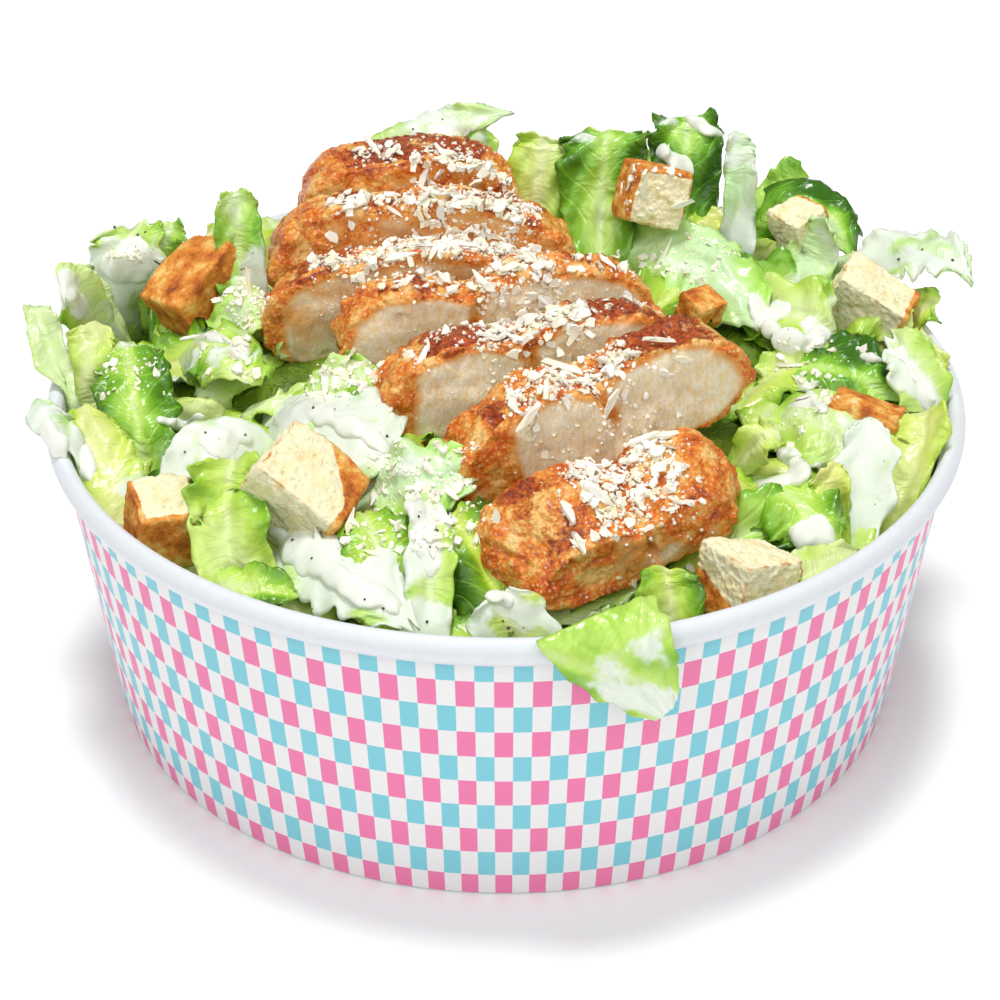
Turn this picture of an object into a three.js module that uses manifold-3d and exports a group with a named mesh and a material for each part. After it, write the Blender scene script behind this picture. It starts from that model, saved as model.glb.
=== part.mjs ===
// Chicken caesar salad in its round paper bowl.
// Millimetres, +Z up. The origin is the middle of the bowl's underside. -Y is the side that faces the viewer.
import * as THREE from 'three';
import { mergeVertices } from 'three/addons/utils/BufferGeometryUtils.js';
import Module from 'manifold-3d';

const wasm = await Module();
wasm.setup();

// Bowl
const RIM_RADIUS = 92.5;
const BOWL_HEIGHT = 66;
const BASE_RADIUS = 81.5;
const PRINT_TOP_RADIUS = 89.7;
const PRINT_TOP_HEIGHT = 59.4;
const WALL = 1.2;
const BASE_THICKNESS = 1.5;
const CORNER = 1.2;
const ROLL_WIDTH = 3.8;
const ROLL_HEIGHT = 5.4;
const ROLL_STEPS = 7;
const ROLL_START = -70;
const ROLL_SWEEP = 230;
const BOWL_SIDES = 48;

// Salad heap
const GAP = 0.45;
const CORE_SIDES = 24;
const CORE_EDGE = 55;
const CORE_CROWN = 14;
const CORE_REACH = 85;
const CORE_TILT = 0.12;
const CORE_BUMP = 1.1;
const CORE_BEVEL = 3;
const CORE_SHOULDER = 46;
const CORE_RINGS = [0.99, 0.9, 0.76, 0.58, 0.36, 0];
const LEAF_THICKNESS = 1.4;
const WIDE_LEAF = 17;
const DRESSING_LIFT = 0.5;
const ROOT_DEPTH = 2.5;
const DRESSING_THICKNESS = 1.5;

// Chicken
const CRUST_ROUNDING = 1.5;
const SLICE_POINTS = 18;
const CLEFT_WIDTH = 4.5;
const SEAT_ROOM = 1.3;
const SEAT_POINTS = 12;

// Bread
const CROUTON_ROUNDING = 0.13;

// Parmesan flake: length, width and thickness
const FLAKE = [4.2, 1.9, 0.8];
const FLAKE_LIFT = 0.15;

const UP = new THREE.Vector3(0, 0, 1);
const TO_RIGHT = new THREE.Vector3(1, 0, 0);
const TO_VIEWER = new THREE.Vector3(0, -0.5, 0.85).normalize();
const degrees = THREE.MathUtils.degToRad;

// A repeatable run of numbers from 0 to 1.
function draws(seed) {
  let state = seed * 7919 + 17;
  return () => {
    state = (state * 16807) % 2147483647;
    return state / 2147483647;
  };
}

// Height of the bare heap under the leaves.
function heapHeight(x, y) {
  const share = Math.min(1, Math.hypot(x, y) / CORE_REACH);
  return CORE_EDGE + CORE_CROWN * (1 - share ** 2) ** 0.7 + CORE_TILT * y;
}

function outerRadius(z) {
  return BASE_RADIUS + (PRINT_TOP_RADIUS - BASE_RADIUS) * z / PRINT_TOP_HEIGHT;
}

// Closed meshes and solids

// Only positions, with shared vertices merged and collapsed triangles dropped.
function weld(geometry) {
  const bare = new THREE.BufferGeometry();
  bare.setAttribute('position', geometry.attributes.position.clone());
  bare.setIndex(geometry.index ? geometry.index.clone() : null);
  const merged = mergeVertices(bare, 1e-3);
  const corners = merged.index.array;
  const kept = [];
  for (let i = 0; i < corners.length; i += 3) {
    const [a, b, c] = corners.slice(i, i + 3);
    if (a !== b && b !== c && c !== a) {
      kept.push(a, b, c);
    }
  }
  merged.setIndex(kept);
  return merged;
}

function toSolid(geometry) {
  const merged = weld(geometry);
  return new wasm.Manifold(new wasm.Mesh({
    numProp: 3,
    vertProperties: new Float32Array(merged.attributes.position.array),
    triVerts: new Uint32Array(merged.index.array),
  }));
}

function toGeometry(solid) {
  const mesh = solid.getMesh();
  const geometry = new THREE.BufferGeometry();
  geometry.setAttribute('position', new THREE.BufferAttribute(new Float32Array(mesh.vertProperties), 3));
  geometry.setIndex(Array.from(mesh.triVerts));
  return geometry;
}

// The largest closed body of a mesh: loose scraps go, and sealed hollows are filled.
function largestBody(geometry) {
  const merged = weld(geometry);
  const position = merged.attributes.position;
  const corners = merged.index.array;
  const parent = Array.from({ length: position.count }, (_, i) => i);
  const rootOf = (i) => {
    let top = i;
    while (parent[top] !== top) {
      parent[top] = parent[parent[top]];
      top = parent[top];
    }
    return top;
  };
  for (let i = 0; i < corners.length; i += 3) {
    parent[rootOf(corners[i])] = rootOf(corners[i + 1]);
    parent[rootOf(corners[i + 1])] = rootOf(corners[i + 2]);
  }
  const [a, b, c] = [new THREE.Vector3(), new THREE.Vector3(), new THREE.Vector3()];
  const volumes = new Map();
  for (let i = 0; i < corners.length; i += 3) {
    a.fromBufferAttribute(position, corners[i]);
    b.fromBufferAttribute(position, corners[i + 1]);
    c.fromBufferAttribute(position, corners[i + 2]);
    const body = rootOf(corners[i]);
    volumes.set(body, (volumes.get(body) ?? 0) + a.dot(b.cross(c)));
  }
  const largest = [...volumes].sort((one, other) => other[1] - one[1])[0][0];
  const kept = [];
  for (let i = 0; i < corners.length; i += 3) {
    if (rootOf(corners[i]) === largest) {
      kept.push(...corners.slice(i, i + 3));
    }
  }
  merged.setIndex(kept);
  return merged.toNonIndexed();
}

// A profile of [radius, height] pairs turned round +Z.
function turned(profile, sides) {
  const geometry = new THREE.LatheGeometry(profile.map(([r, z]) => new THREE.Vector2(r, z)), sides);
  return geometry.rotateX(Math.PI / 2);
}

// A thin solid whose two faces are split alike. place(u, v, side) gives a point: u runs from 0 to 1 along
// it, v from -1 to 1 across it, and side is 1 on the upper face and -1 on the lower.
function thinSolid(along, across, place) {
  const grid = new THREE.PlaneGeometry(1, 1, along, across);
  const flat = grid.attributes.position;
  const points = [];
  for (const side of [1, -1]) {
    for (let i = 0; i < flat.count; i += 1) {
      points.push(...place(flat.getX(i) + 0.5, 2 * flat.getY(i), side).toArray());
    }
  }
  const index = [...grid.index.array];
  for (let i = 0; i < grid.index.count; i += 3) {
    const [a, b, c] = grid.index.array.slice(i, i + 3);
    index.push(a + flat.count, c + flat.count, b + flat.count);
  }
  const row = along + 1;
  const edge = [];
  for (let j = 0; j < across; j += 1) {
    edge.push(j * row);
  }
  for (let i = 0; i < along; i += 1) {
    edge.push(across * row + i);
  }
  for (let j = across; j > 0; j -= 1) {
    edge.push(j * row + along);
  }
  for (let i = along; i > 0; i -= 1) {
    edge.push(i);
  }
  edge.forEach((from, k) => {
    const to = edge[(k + 1) % edge.length];
    index.push(to, from, from + flat.count, to, from + flat.count, to + flat.count);
  });
  const geometry = new THREE.BufferGeometry();
  geometry.setAttribute('position', new THREE.Float32BufferAttribute(points, 3));
  geometry.setIndex(index);
  return geometry;
}

// Bowl

function bowlProfile(grow = 0) {
  const rollMiddle = [RIM_RADIUS - ROLL_WIDTH / 2, BOWL_HEIGHT - ROLL_HEIGHT / 2];
  const profile = [[0, -grow], [BASE_RADIUS - CORNER + grow, -grow], [BASE_RADIUS + grow, CORNER - grow]];
  const rollUnder = BOWL_HEIGHT - ROLL_HEIGHT;
  profile.push([outerRadius(rollUnder) + grow, rollUnder - grow]);
  for (let i = 1; i < ROLL_STEPS; i += 1) {
    const angle = degrees(ROLL_START + ROLL_SWEEP * i / ROLL_STEPS);
    profile.push([
      rollMiddle[0] + (ROLL_WIDTH / 2 + grow) * Math.cos(angle),
      rollMiddle[1] + (ROLL_HEIGHT / 2 + grow) * Math.sin(angle),
    ]);
  }
  profile.push([outerRadius(rollUnder) - WALL - grow, rollUnder]);
  profile.push([outerRadius(CORNER + BASE_THICKNESS) - WALL - grow, CORNER + BASE_THICKNESS + grow]);
  profile.push([BASE_RADIUS - WALL - CORNER - grow, BASE_THICKNESS + grow]);
  profile.push([0, BASE_THICKNESS + grow]);
  return profile;
}

// Leaves

// Each leaf runs from root over middle to tip. width is its full width, ends are the shares of it left at
// root and tip, cup lifts its edges, frill is the height of its ruffles, and roll turns it round its rib.
// dressing lists thick spots as [u, v, length, width].
const LEAVES = [
  { root: [-38, 61, 66], middle: [-24, 66, 87], tip: [2, 70, 93], width: 11,
    ends: [0.8, 0.15], cup: -0.2, frill: 1 },
  { root: [6, 50, 74], middle: [8, 58, 87], tip: [9, 62, 92], width: 15,
    ends: [0.7, 0.5], cup: -0.3, frill: 0.5 },
  { root: [20, 42, 72], middle: [21, 55, 87], tip: [22, 62, 94], width: 19, ends: [0.5, 0.8], frill: 2 },
  { root: [38, 46, 76], middle: [39, 58, 89], tip: [39, 64, 95], width: 15, ends: [0.8, 0.8], frill: 2 },
  { root: [49, 42, 74], middle: [50, 49, 88], tip: [49, 54, 97], width: 7, ends: [1, 0.3], frill: 1 },
  { root: [35, 44, 70], middle: [43, 49, 77], tip: [49, 56, 77], width: 8, ends: [0.8, 0.5] },
  { root: [50, 56, 80], middle: [64, 56, 79], tip: [74, 45, 69], width: 16,
    ends: [0.5, 0.5], cup: -0.5, frill: 0.6 },
  { root: [71, 34, 64], middle: [84, 35, 77], tip: [96, 22, 77], width: 17,
    ends: [0.9, 0.15], frill: 1.6, roll: -15,
    dressing: [[0.5, 0, 12, 8]] },
  { root: [20, 44, 74], middle: [38, 35, 77], tip: [53, 14, 71], width: 20,
    ends: [0.7, 0.6], cup: -0.3, frill: 1 },
  { root: [60, 30, 66], middle: [65, 38, 75], tip: [67, 38, 84], width: 11, ends: [1, 0.1], frill: 1 },
  { root: [50, 25, 68], middle: [60, 16, 73], tip: [69, 13, 68], width: 15, ends: [0.8, 0.6], cup: 0.3,
    dressing: [[0.3, 0.1, 9, 5], [0.7, -0.3, 8, 5]] },
  { root: [66, 30, 66], middle: [75, 20, 73], tip: [84, 17, 67], width: 14, ends: [0.7, 0.4], cup: -0.4 },
  { root: [52, 10, 66], middle: [67, -1, 69], tip: [82, -7, 63], width: 20,
    ends: [0.8, 0.5], cup: -0.2, frill: 1.2 },
  { root: [86, -12, 58], middle: [83, -5, 68], tip: [76, 7, 74], width: 12, ends: [0.5, 0.5], cup: 0.3,
    dressing: [[0.45, 0, 10, 3.5]] },
  { root: [82, 26, 60], middle: [87, 25, 68], tip: [90, 24, 71], width: 9, ends: [1, 0.6], frill: 1.2 },
  { root: [83, -16, 56], middle: [86, 0, 66], tip: [86, 15, 69], width: 8, ends: [0.7, 0.4], roll: 20 },
  { root: [72, -38, 52], middle: [80, -27, 63], tip: [83, -13, 68], width: 13,
    ends: [0.5, 0.5], cup: 0.4, frill: 1, roll: -20 },
  { root: [65, -46, 53], middle: [69, -35, 66], tip: [70, -26, 73], width: 12, ends: [0.5, 0.1], cup: 0.4 },
  { root: [62, -46, 54], middle: [62, -40, 64], tip: [61, -36, 69], width: 8,
    ends: [0.7, 0.4], frill: 1.5 },
  { root: [52, -9, 64], middle: [61, -20, 69], tip: [70, -29, 62], width: 19,
    ends: [0.8, 0.6], cup: -0.3, frill: 1,
    dressing: [[0.25, 0.4, 9, 5]] },
  { root: [46, -30, 61], middle: [54, -42, 65], tip: [62, -51, 57], width: 17,
    ends: [0.8, 0.5], cup: -0.3, frill: 1,
    dressing: [[0.25, 0.2, 9, 7], [0.85, 0, 9, 7]] },
  { root: [44, -27, 62], middle: [49, -29, 70], tip: [54, -27, 69], width: 8, ends: [0.7, 0.5], frill: 1 },
  { root: [40, -69, 52], middle: [53, -63, 60], tip: [67, -51, 58], width: 9, ends: [0.5, 0.3], cup: 0.3 },
  { root: [31, -72, 51], middle: [30, -69, 60], tip: [29, -65, 65], width: 12, ends: [1, 0.6], cup: 0.3 },
  { root: [1, -77, 50], middle: [1, -75, 58], tip: [0, -72, 64], width: 17, ends: [1, 0.15] },
  { root: [-15, -76, 50], middle: [-14, -66, 63], tip: [-14, -52, 71], width: 9, ends: [0.9, 0.7], cup: 0.3,
    dressing: [[0.65, 0, 13, 5]] },
  { root: [-45, -42, 62], middle: [-32, -61, 64], tip: [-17, -76, 58], width: 19,
    ends: [0.7, 0.2], cup: -0.3,
    dressing: [[0.4, 0, 14, 11], [0.85, 0, 8, 5]] },
  { root: [-52, -60, 52], middle: [-56, -50, 66], tip: [-54, -39, 73], width: 17,
    ends: [0.9, 0.5], cup: 0.4, frill: 1 },
  { root: [-62, -55, 53], middle: [-50, -65, 60], tip: [-38, -66, 58], width: 11,
    ends: [0.4, 0.4], cup: -0.3 },
  { root: [-46, -27, 64], middle: [-56, -30, 69], tip: [-67, -34, 62], width: 13, ends: [1, 0.1],
    dressing: [[0.45, 0, 10, 7]] },
  { root: [-49, -8, 67], middle: [-35, -26, 73], tip: [-21, -39, 69], width: 22,
    ends: [0.7, 0.6], cup: -0.3, frill: 0.8,
    dressing: [[0.3, 0, 15, 11], [0.75, 0.2, 9, 6]] },
  { root: [-32, -38, 64], middle: [-18, -44, 70], tip: [-4, -43, 69], width: 16,
    ends: [0.9, 0.7], frill: 0.8 },
  { root: [-41, -13, 67], middle: [-32, -14, 74], tip: [-22, -10, 73], width: 12,
    ends: [0.8, 0.6], frill: 1 },
  { root: [-70, -24, 58], middle: [-74, -10, 69], tip: [-77, 9, 71], width: 16,
    ends: [0.7, 0.7], cup: -0.3, frill: 0.8 },
  { root: [-69, 15, 66], middle: [-59, 2, 74], tip: [-50, -13, 69], width: 15,
    ends: [0.7, 0.5], cup: -0.4, frill: 1.2,
    dressing: [[0.4, 0.2, 14, 3.5], [0.7, 0.3, 5, 5]] },
  { root: [-84, -4, 59], middle: [-85, 6, 69], tip: [-83, 17, 71], width: 10, ends: [0.9, 0.7], cup: -0.3 },
  { root: [-86, -12, 58], middle: [-92, 2, 72], tip: [-96, 12, 77], width: 7, ends: [0.9, 0.5], cup: 0.2 },
  { root: [-80, 24, 62], middle: [-86, 25, 74], tip: [-91, 28, 78], width: 6, ends: [1, 0.6] },
  { root: [-84, 24, 60], middle: [-88, 18, 75], tip: [-92, 16, 80], width: 12, ends: [0.8, 0.5], cup: 0.2,
    dressing: [[0.8, 0, 8, 8]] },
  { root: [-69, -44, 52], middle: [-78, -30, 64], tip: [-84, -12, 68], width: 14,
    ends: [0.7, 0.5], cup: -0.3, frill: 1,
    dressing: [[0.6, 0.4, 12, 4]] },
  { root: [-78, -33, 58], middle: [-87, -27, 70], tip: [-92, -16, 72], width: 9,
    ends: [0.8, 0.6], cup: -0.6, roll: 0,
    dressing: [[0.5, 0.2, 12, 4]] },
  { root: [-54, 20, 70], middle: [-55, 28, 86], tip: [-56, 32, 93], width: 10,
    ends: [0.9, 0.2], cup: 0.3, frill: 1 },
  { root: [-68, 50, 62], middle: [-63, 38, 78], tip: [-60, 34, 82], width: 8, ends: [1, 0.5] },
  { root: [-77, 30, 60], middle: [-78, 25, 81], tip: [-75, 34, 88], width: 17,
    ends: [0.6, 0.5], cup: 0.2, frill: 0.8,
    dressing: [[0.6, -0.2, 12, 8]] },
  { root: [-72, 27, 62], middle: [-68, 27, 80], tip: [-66, 33, 86], width: 14,
    ends: [0.6, 0.5], roll: -25, frill: 1 },
  { root: [-60, 14, 66], middle: [-54, 15, 74], tip: [-49, 21, 74], width: 12, ends: [0.9, 0.6], frill: 1 },
  { root: [3, -68, 54], middle: [-5, -62, 64], tip: [-10, -48, 69], width: 17,
    ends: [0.7, 0.6], frill: 1.2 },
  { root: [-17, -74, 52], middle: [-22, -64, 62], tip: [-27, -50, 67], width: 15,
    ends: [0.6, 0.6], frill: 1 },
  { root: [-5, 66, 62], middle: [-12, 78, 76], tip: [-18, 82, 80], width: 22,
    ends: [0.8, 0.5], frill: 1.6, cup: 0.3 },
  { root: [25, 66, 62], middle: [28, 76, 76], tip: [30, 80, 81], width: 22,
    ends: [0.8, 0.6], frill: 1.6, cup: 0.3 },
  { root: [-42, 56, 58], middle: [-48, 64, 66], tip: [-50, 72, 67], width: 20,
    ends: [0.8, 0.6], frill: 1, cup: 0.2 },
  { root: [56, 52, 66], middle: [63, 62, 74], tip: [68, 66, 77], width: 18,
    ends: [0.8, 0.6], frill: 1.2, cup: 0.2 },
];

// The leaf that hangs out over the rim at the front is a piece of its own. drape is its way out over the rim
// and down, as [radius, height]. Its corners are [degrees from -Y towards +X, share of the drape], bulge
// rounds its lower left edge in degrees, and ripple is the depth of its waves.
const RIM_LEAF = {
  drape: [[80, 67.5], [86, 69], [91, 68.2], [94.2, 64.5], [94.7, 58], [94.2, 47]],
  innerLeft: [3.2, 0.4],
  innerRight: [17.8, 0.14],
  outerRight: [18.9, 0.85],
  outerLeft: [16.6, 0.99],
  bulge: 1.6,
  ripple: 0.35,
  along: 9,
  across: 6,
};

function shareOfWidth(u, [atRoot, atTip]) {
  const widest = 0.45;
  if (u < widest) {
    return atRoot + (1 - atRoot) * Math.sin(u / widest * Math.PI / 2);
  }
  return atTip + (1 - atTip) * Math.cos((u - widest) / (1 - widest) * Math.PI / 2) ** 0.8;
}

// Returns at(u, v), which gives a point of the leaf's middle surface and the normal there.
function leafSurface(leaf, seed) {
  const [root, middle, tip] = [leaf.root, leaf.middle, leaf.tip].map((p) => new THREE.Vector3(...p));
  const bend = middle.clone().multiplyScalar(2).addScaledVector(root, -0.5).addScaledVector(tip, -0.5);
  const rib = new THREE.QuadraticBezierCurve3(root, bend, tip);
  const draw = draws(seed);
  const phase = draw();
  const waves = 1.5 + draw();
  const { cup = 0, frill = 0.6, roll = 0 } = leaf;
  return (u, v) => {
    const tangent = rib.getTangent(u);
    const normal = TO_VIEWER.clone().addScaledVector(tangent, -TO_VIEWER.dot(tangent)).normalize();
    normal.applyAxisAngle(tangent, degrees(roll));
    const across = new THREE.Vector3().crossVectors(normal, tangent);
    const half = leaf.width / 2 * shareOfWidth(u, leaf.ends);
    const ruffle = frill * Math.abs(v) ** 1.5 * Math.sin(2 * Math.PI * (waves * u + phase + 0.2 * v));
    const point = rib.getPoint(u).addScaledVector(across, v * half);
    point.addScaledVector(normal, cup * half * v * v + ruffle);
    return { point, normal, tangent };
  };
}

function leafGeometry(leaf, seed) {
  const at = leafSurface(leaf, seed);
  return thinSolid(leaf.width < WIDE_LEAF ? 4 : 5, 2, (u, v, side) => {
    const { point, normal } = at(u, v);
    return point.addScaledVector(normal, side * LEAF_THICKNESS / 2);
  });
}

function rimLeafGeometry(grow = 0) {
  const drape = new THREE.SplineCurve(RIM_LEAF.drape.map(([r, z]) => new THREE.Vector2(r, z)));
  const between = (left, right, share) => [0, 1].map((k) => THREE.MathUtils.lerp(left[k], right[k], share));
  return thinSolid(RIM_LEAF.along, RIM_LEAF.across, (u, v, side) => {
    const fromLeft = (v + 1) / 2;
    const inner = between(RIM_LEAF.innerLeft, RIM_LEAF.innerRight, fromLeft);
    const outer = between(RIM_LEAF.outerLeft, RIM_LEAF.outerRight, fromLeft);
    const [turn, share] = between(inner, outer, u);
    const angle = degrees(turn - RIM_LEAF.bulge * (1 - fromLeft) * Math.sin(Math.PI * u));
    const { x: radius, y: height } = drape.getPointAt(share);
    const { x: outwards, y: upwards } = drape.getTangentAt(share);
    const lift = side * (LEAF_THICKNESS / 2 + grow) + RIM_LEAF.ripple * Math.sin(5 * u + 4 * fromLeft);
    const out = radius - upwards * lift;
    return new THREE.Vector3(out * Math.sin(angle), -out * Math.cos(angle), height + outwards * lift);
  });
}

// A flat, rounded pad of thick dressing on a leaf.
function dressingGeometry(leaf, seed, [u, v, length, width]) {
  const { point, normal, tangent } = leafSurface(leaf, seed)(u, v);
  const pad = new THREE.SphereGeometry(1, 6, 3).rotateX(Math.PI / 2);
  pad.scale(length / 2, width / 2, DRESSING_THICKNESS);
  const side = new THREE.Vector3().crossVectors(normal, tangent);
  const placed = new THREE.Matrix4().makeBasis(tangent, side, normal);
  placed.setPosition(point.addScaledVector(normal, DRESSING_LIFT));
  return pad.applyMatrix4(placed);
}

// Chicken

// Seven slices of one grilled breast, from the back to the front. place is the middle of the lower edge of
// the front face, size is width, height and thickness, yaw, lean and roll are degrees, cleft is where the
// two lobes part as a share of the half width, and flakes counts the parmesan flakes on it.
const SLICES = [
  { place: [-20, 42, 69], size: [49, 25.5, 17], yaw: 2, lean: 5, roll: -1, cleft: null, flakes: 4 },
  { place: [-17, 25, 67], size: [65, 25, 14.5], yaw: 4, lean: 6, roll: -2, cleft: null, flakes: 6 },
  { place: [-18, 10.5, 63], size: [63, 24.5, 11.5], yaw: 6, lean: 6, roll: 2, cleft: null, flakes: 6 },
  { place: [-1, -1.5, 71], size: [65, 19, 10.5], yaw: 10, lean: 6, roll: 2, cleft: -0.15, flakes: 6 },
  { place: [7, -18.5, 66.5], size: [63, 21, 14], yaw: 13, lean: 7, roll: 6, cleft: -0.05, flakes: 5 },
  { place: [22.5, -34, 65.5], size: [63, 22, 14.5], yaw: 20, lean: 8, roll: 13, cleft: 0, flakes: 6 },
  { place: [26, -61.5, 58.5], size: [54, 19, 20], yaw: 27, lean: 0, roll: 6, cleft: 0.1, flakes: 7,
    endPiece: true },
];

// Height of a slice's upper edge at x, which runs from -1 to 1 over its width.
function sliceTop(x, cleft) {
  const dome = (1 - Math.abs(x) ** 3.4) ** 0.55;
  if (cleft === null) {
    return dome;
  }
  return dome * (1 - 0.28 * Math.exp(-(((x - cleft) * CLEFT_WIDTH) ** 2)));
}

// The slice as seen from its cut face, with x across and y up from its lower edge.
function sliceOutline(width, height, cleft, points) {
  const edge = height * 0.35;
  return Array.from({ length: points }, (_, i) => {
    const angle = 2 * Math.PI * (i + 0.5) / points;
    const x = Math.sign(Math.cos(angle)) * Math.abs(Math.cos(angle)) ** 0.85;
    const rise = Math.sin(angle) >= 0 ? (height - edge) * sliceTop(x, cleft) : -edge * (1 - x ** 4) ** 0.5;
    return new THREE.Vector2(x * width / 2, edge + rise);
  });
}

function sliceGeometry({ size: [width, height, thickness], cleft, endPiece = false }, seed) {
  const outline = sliceOutline(width, height, cleft, SLICE_POINTS);
  const geometry = new THREE.ExtrudeGeometry(new THREE.Shape(outline), {
    depth: thickness - 2 * CRUST_ROUNDING,
    bevelThickness: CRUST_ROUNDING,
    bevelSize: CRUST_ROUNDING,
    bevelOffset: -CRUST_ROUNDING,
    bevelSegments: 1,
  });
  geometry.translate(0, 0, CRUST_ROUNDING - thickness);
  const draw = draws(seed);
  const [a, b] = [draw() * 6, draw() * 6];
  const position = geometry.attributes.position;
  for (let i = 0; i < position.count; i += 1) {
    const [x, y, z] = [position.getX(i), position.getY(i), position.getZ(i)];
    const swell = 1 + 0.03 * Math.sin(0.21 * x + a) + 0.025 * Math.sin(0.35 * z + b);
    const taper = endPiece ? 1 - 0.3 * THREE.MathUtils.smoothstep(z, -0.7 * thickness, 0) : 1;
    const bow = 0.5 * Math.sin(0.13 * x + 0.2 * y + b);
    position.setXYZ(i, x * (0.4 + 0.6 * taper), y * swell * taper, z + bow);
  }
  return geometry;
}

// The plain room that a slice takes up in the heap.
function sliceSeat({ size: [width, height, thickness] }) {
  const outline = sliceOutline(width + 2 * SEAT_ROOM, height + 2 * SEAT_ROOM, null, SEAT_POINTS);
  const seat = new THREE.ExtrudeGeometry(new THREE.Shape(outline), {
    depth: thickness + 2 * SEAT_ROOM,
    bevelEnabled: false,
  });
  return seat.translate(0, -SEAT_ROOM, -thickness - SEAT_ROOM);
}

// Rolled in the plane of its cut face, stood up and leaned back, then turned about the vertical.
function turnOf({ yaw, lean, roll }) {
  const turn = new THREE.Quaternion().setFromAxisAngle(UP, degrees(yaw));
  turn.multiply(new THREE.Quaternion().setFromAxisAngle(TO_RIGHT, degrees(90 - lean)));
  return turn.multiply(new THREE.Quaternion().setFromAxisAngle(UP, degrees(roll)));
}

// Parmesan flakes laid on a slice where a ray from above meets its crust.
function withFlakes(geometry, { size: [width, height, thickness], flakes }, seed) {
  const draw = draws(seed + 40);
  const crust = new THREE.Mesh(geometry, new THREE.MeshStandardMaterial({ side: THREE.DoubleSide }));
  const upwards = new THREE.Vector3(0, 1, 0);
  let solid = toSolid(geometry);
  for (let i = 0; i < flakes; i += 1) {
    const x = (-0.38 + 0.76 * (i + 0.5 + 0.4 * (draw() - 0.5)) / flakes) * width;
    const above = new THREE.Vector3(x, 2 * height, -(0.3 + 0.4 * draw()) * thickness);
    const { face, point } = new THREE.Raycaster(above, upwards.clone().negate()).intersectObject(crust)[0];
    const [length, breadth, thin] = FLAKE.map((side) => side * (0.8 + 0.5 * draw()));
    const flake = new THREE.BoxGeometry(length, thin, breadth);
    flake.rotateY(draw() * Math.PI);
    flake.applyQuaternion(new THREE.Quaternion().setFromUnitVectors(upwards, face.normal));
    flake.translate(...point.addScaledVector(face.normal, FLAKE_LIFT).toArray());
    solid = solid.add(toSolid(flake));
  }
  return largestBody(toGeometry(solid));
}

// Croutons: middle, size, and turns in degrees round X, Y and Z.
const CROUTONS = [
  { middle: [-64, 26, 74], size: [20, 14, 12], turn: [15, -25, 50] },
  { middle: [-65, -45, 61], size: [13, 14, 14], turn: [8, 6, 20] },
  { middle: [-39, -44, 67], size: [20, 16, 17], turn: [25, 25, -30] },
  { middle: [44.5, -63.5, 60], size: [15, 14, 13], turn: [-12, 10, 38] },
  { middle: [31, 45, 86], size: [13, 12, 13], turn: [-20, 12, 12] },
  { middle: [63, 45, 78], size: [9, 10, 10], turn: [10, -12, 35] },
  { middle: [76, 24, 71], size: [18, 12, 12], turn: [15, 22, -25] },
  { middle: [71, -15, 67], size: [15, 10, 6], turn: [-10, 12, -20] },
  { middle: [40, 13, 76], size: [8, 7, 6], turn: [10, 15, 40] },
];

function croutonGeometry({ size: [sx, sy, sz] }, seed, grow = 0) {
  const geometry = new THREE.BoxGeometry(sx + 2 * grow, sy + 2 * grow, sz + 2 * grow, 2, 2, 2);
  const draw = draws(seed + 80);
  const [a, b] = [draw() * 6, draw() * 6];
  const position = geometry.attributes.position;
  for (let i = 0; i < position.count; i += 1) {
    const point = new THREE.Vector3().fromBufferAttribute(position, i);
    const [x, y, z] = [point.x / sx * 2, point.y / sy * 2, point.z / sz * 2];
    const corner = (x ** 4 + y ** 4 + z ** 4) / 3;
    const lump = 0.035 * Math.sin(2.2 * x + 1.7 * y + a) + 0.03 * Math.sin(2.5 * z - x + b);
    position.setXYZ(i, ...point.multiplyScalar(1 - CROUTON_ROUNDING * corner + lump).toArray());
  }
  return geometry;
}

// Assembly

const salad = new THREE.Group();

function addMesh(name, geometry, color, roughness) {
  const look = { color, roughness, metalness: 0, flatShading: true };
  const mesh = new THREE.Mesh(geometry, new THREE.MeshStandardMaterial(look));
  mesh.name = name;
  salad.add(mesh);
  return mesh;
}

function placed(geometry, mesh) {
  mesh.updateMatrix();
  return geometry.clone().applyMatrix4(mesh.matrix);
}

addMesh('bowl', turned(bowlProfile(), BOWL_SIDES), 0xeeeeee, 0.55);

// What lies on the heap, each with a body grown by the gap that the heap is cut by.
const seats = [];
SLICES.forEach((slice, i) => {
  const geometry = withFlakes(sliceGeometry(slice, i + 1), slice, i + 1);
  const mesh = addMesh(`chicken_slice_${i + 1}`, geometry, 0xdb7f2f, 0.6);
  mesh.position.set(...slice.place);
  mesh.quaternion.copy(turnOf(slice));
  seats.push(toSolid(placed(sliceSeat(slice), mesh)));
});
CROUTONS.forEach((crouton, i) => {
  const mesh = addMesh(`crouton_${i + 1}`, croutonGeometry(crouton, i + 1), 0xdf8b30, 0.85);
  mesh.position.set(...crouton.middle);
  mesh.rotation.set(...crouton.turn.map(degrees));
  seats.push(toSolid(placed(croutonGeometry(crouton, i + 1, GAP), mesh)));
});
seats.push(toSolid(rimLeafGeometry(GAP)));
addMesh('leaf_over_rim', rimLeafGeometry(), 0xa9d84a, 0.45);

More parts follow.
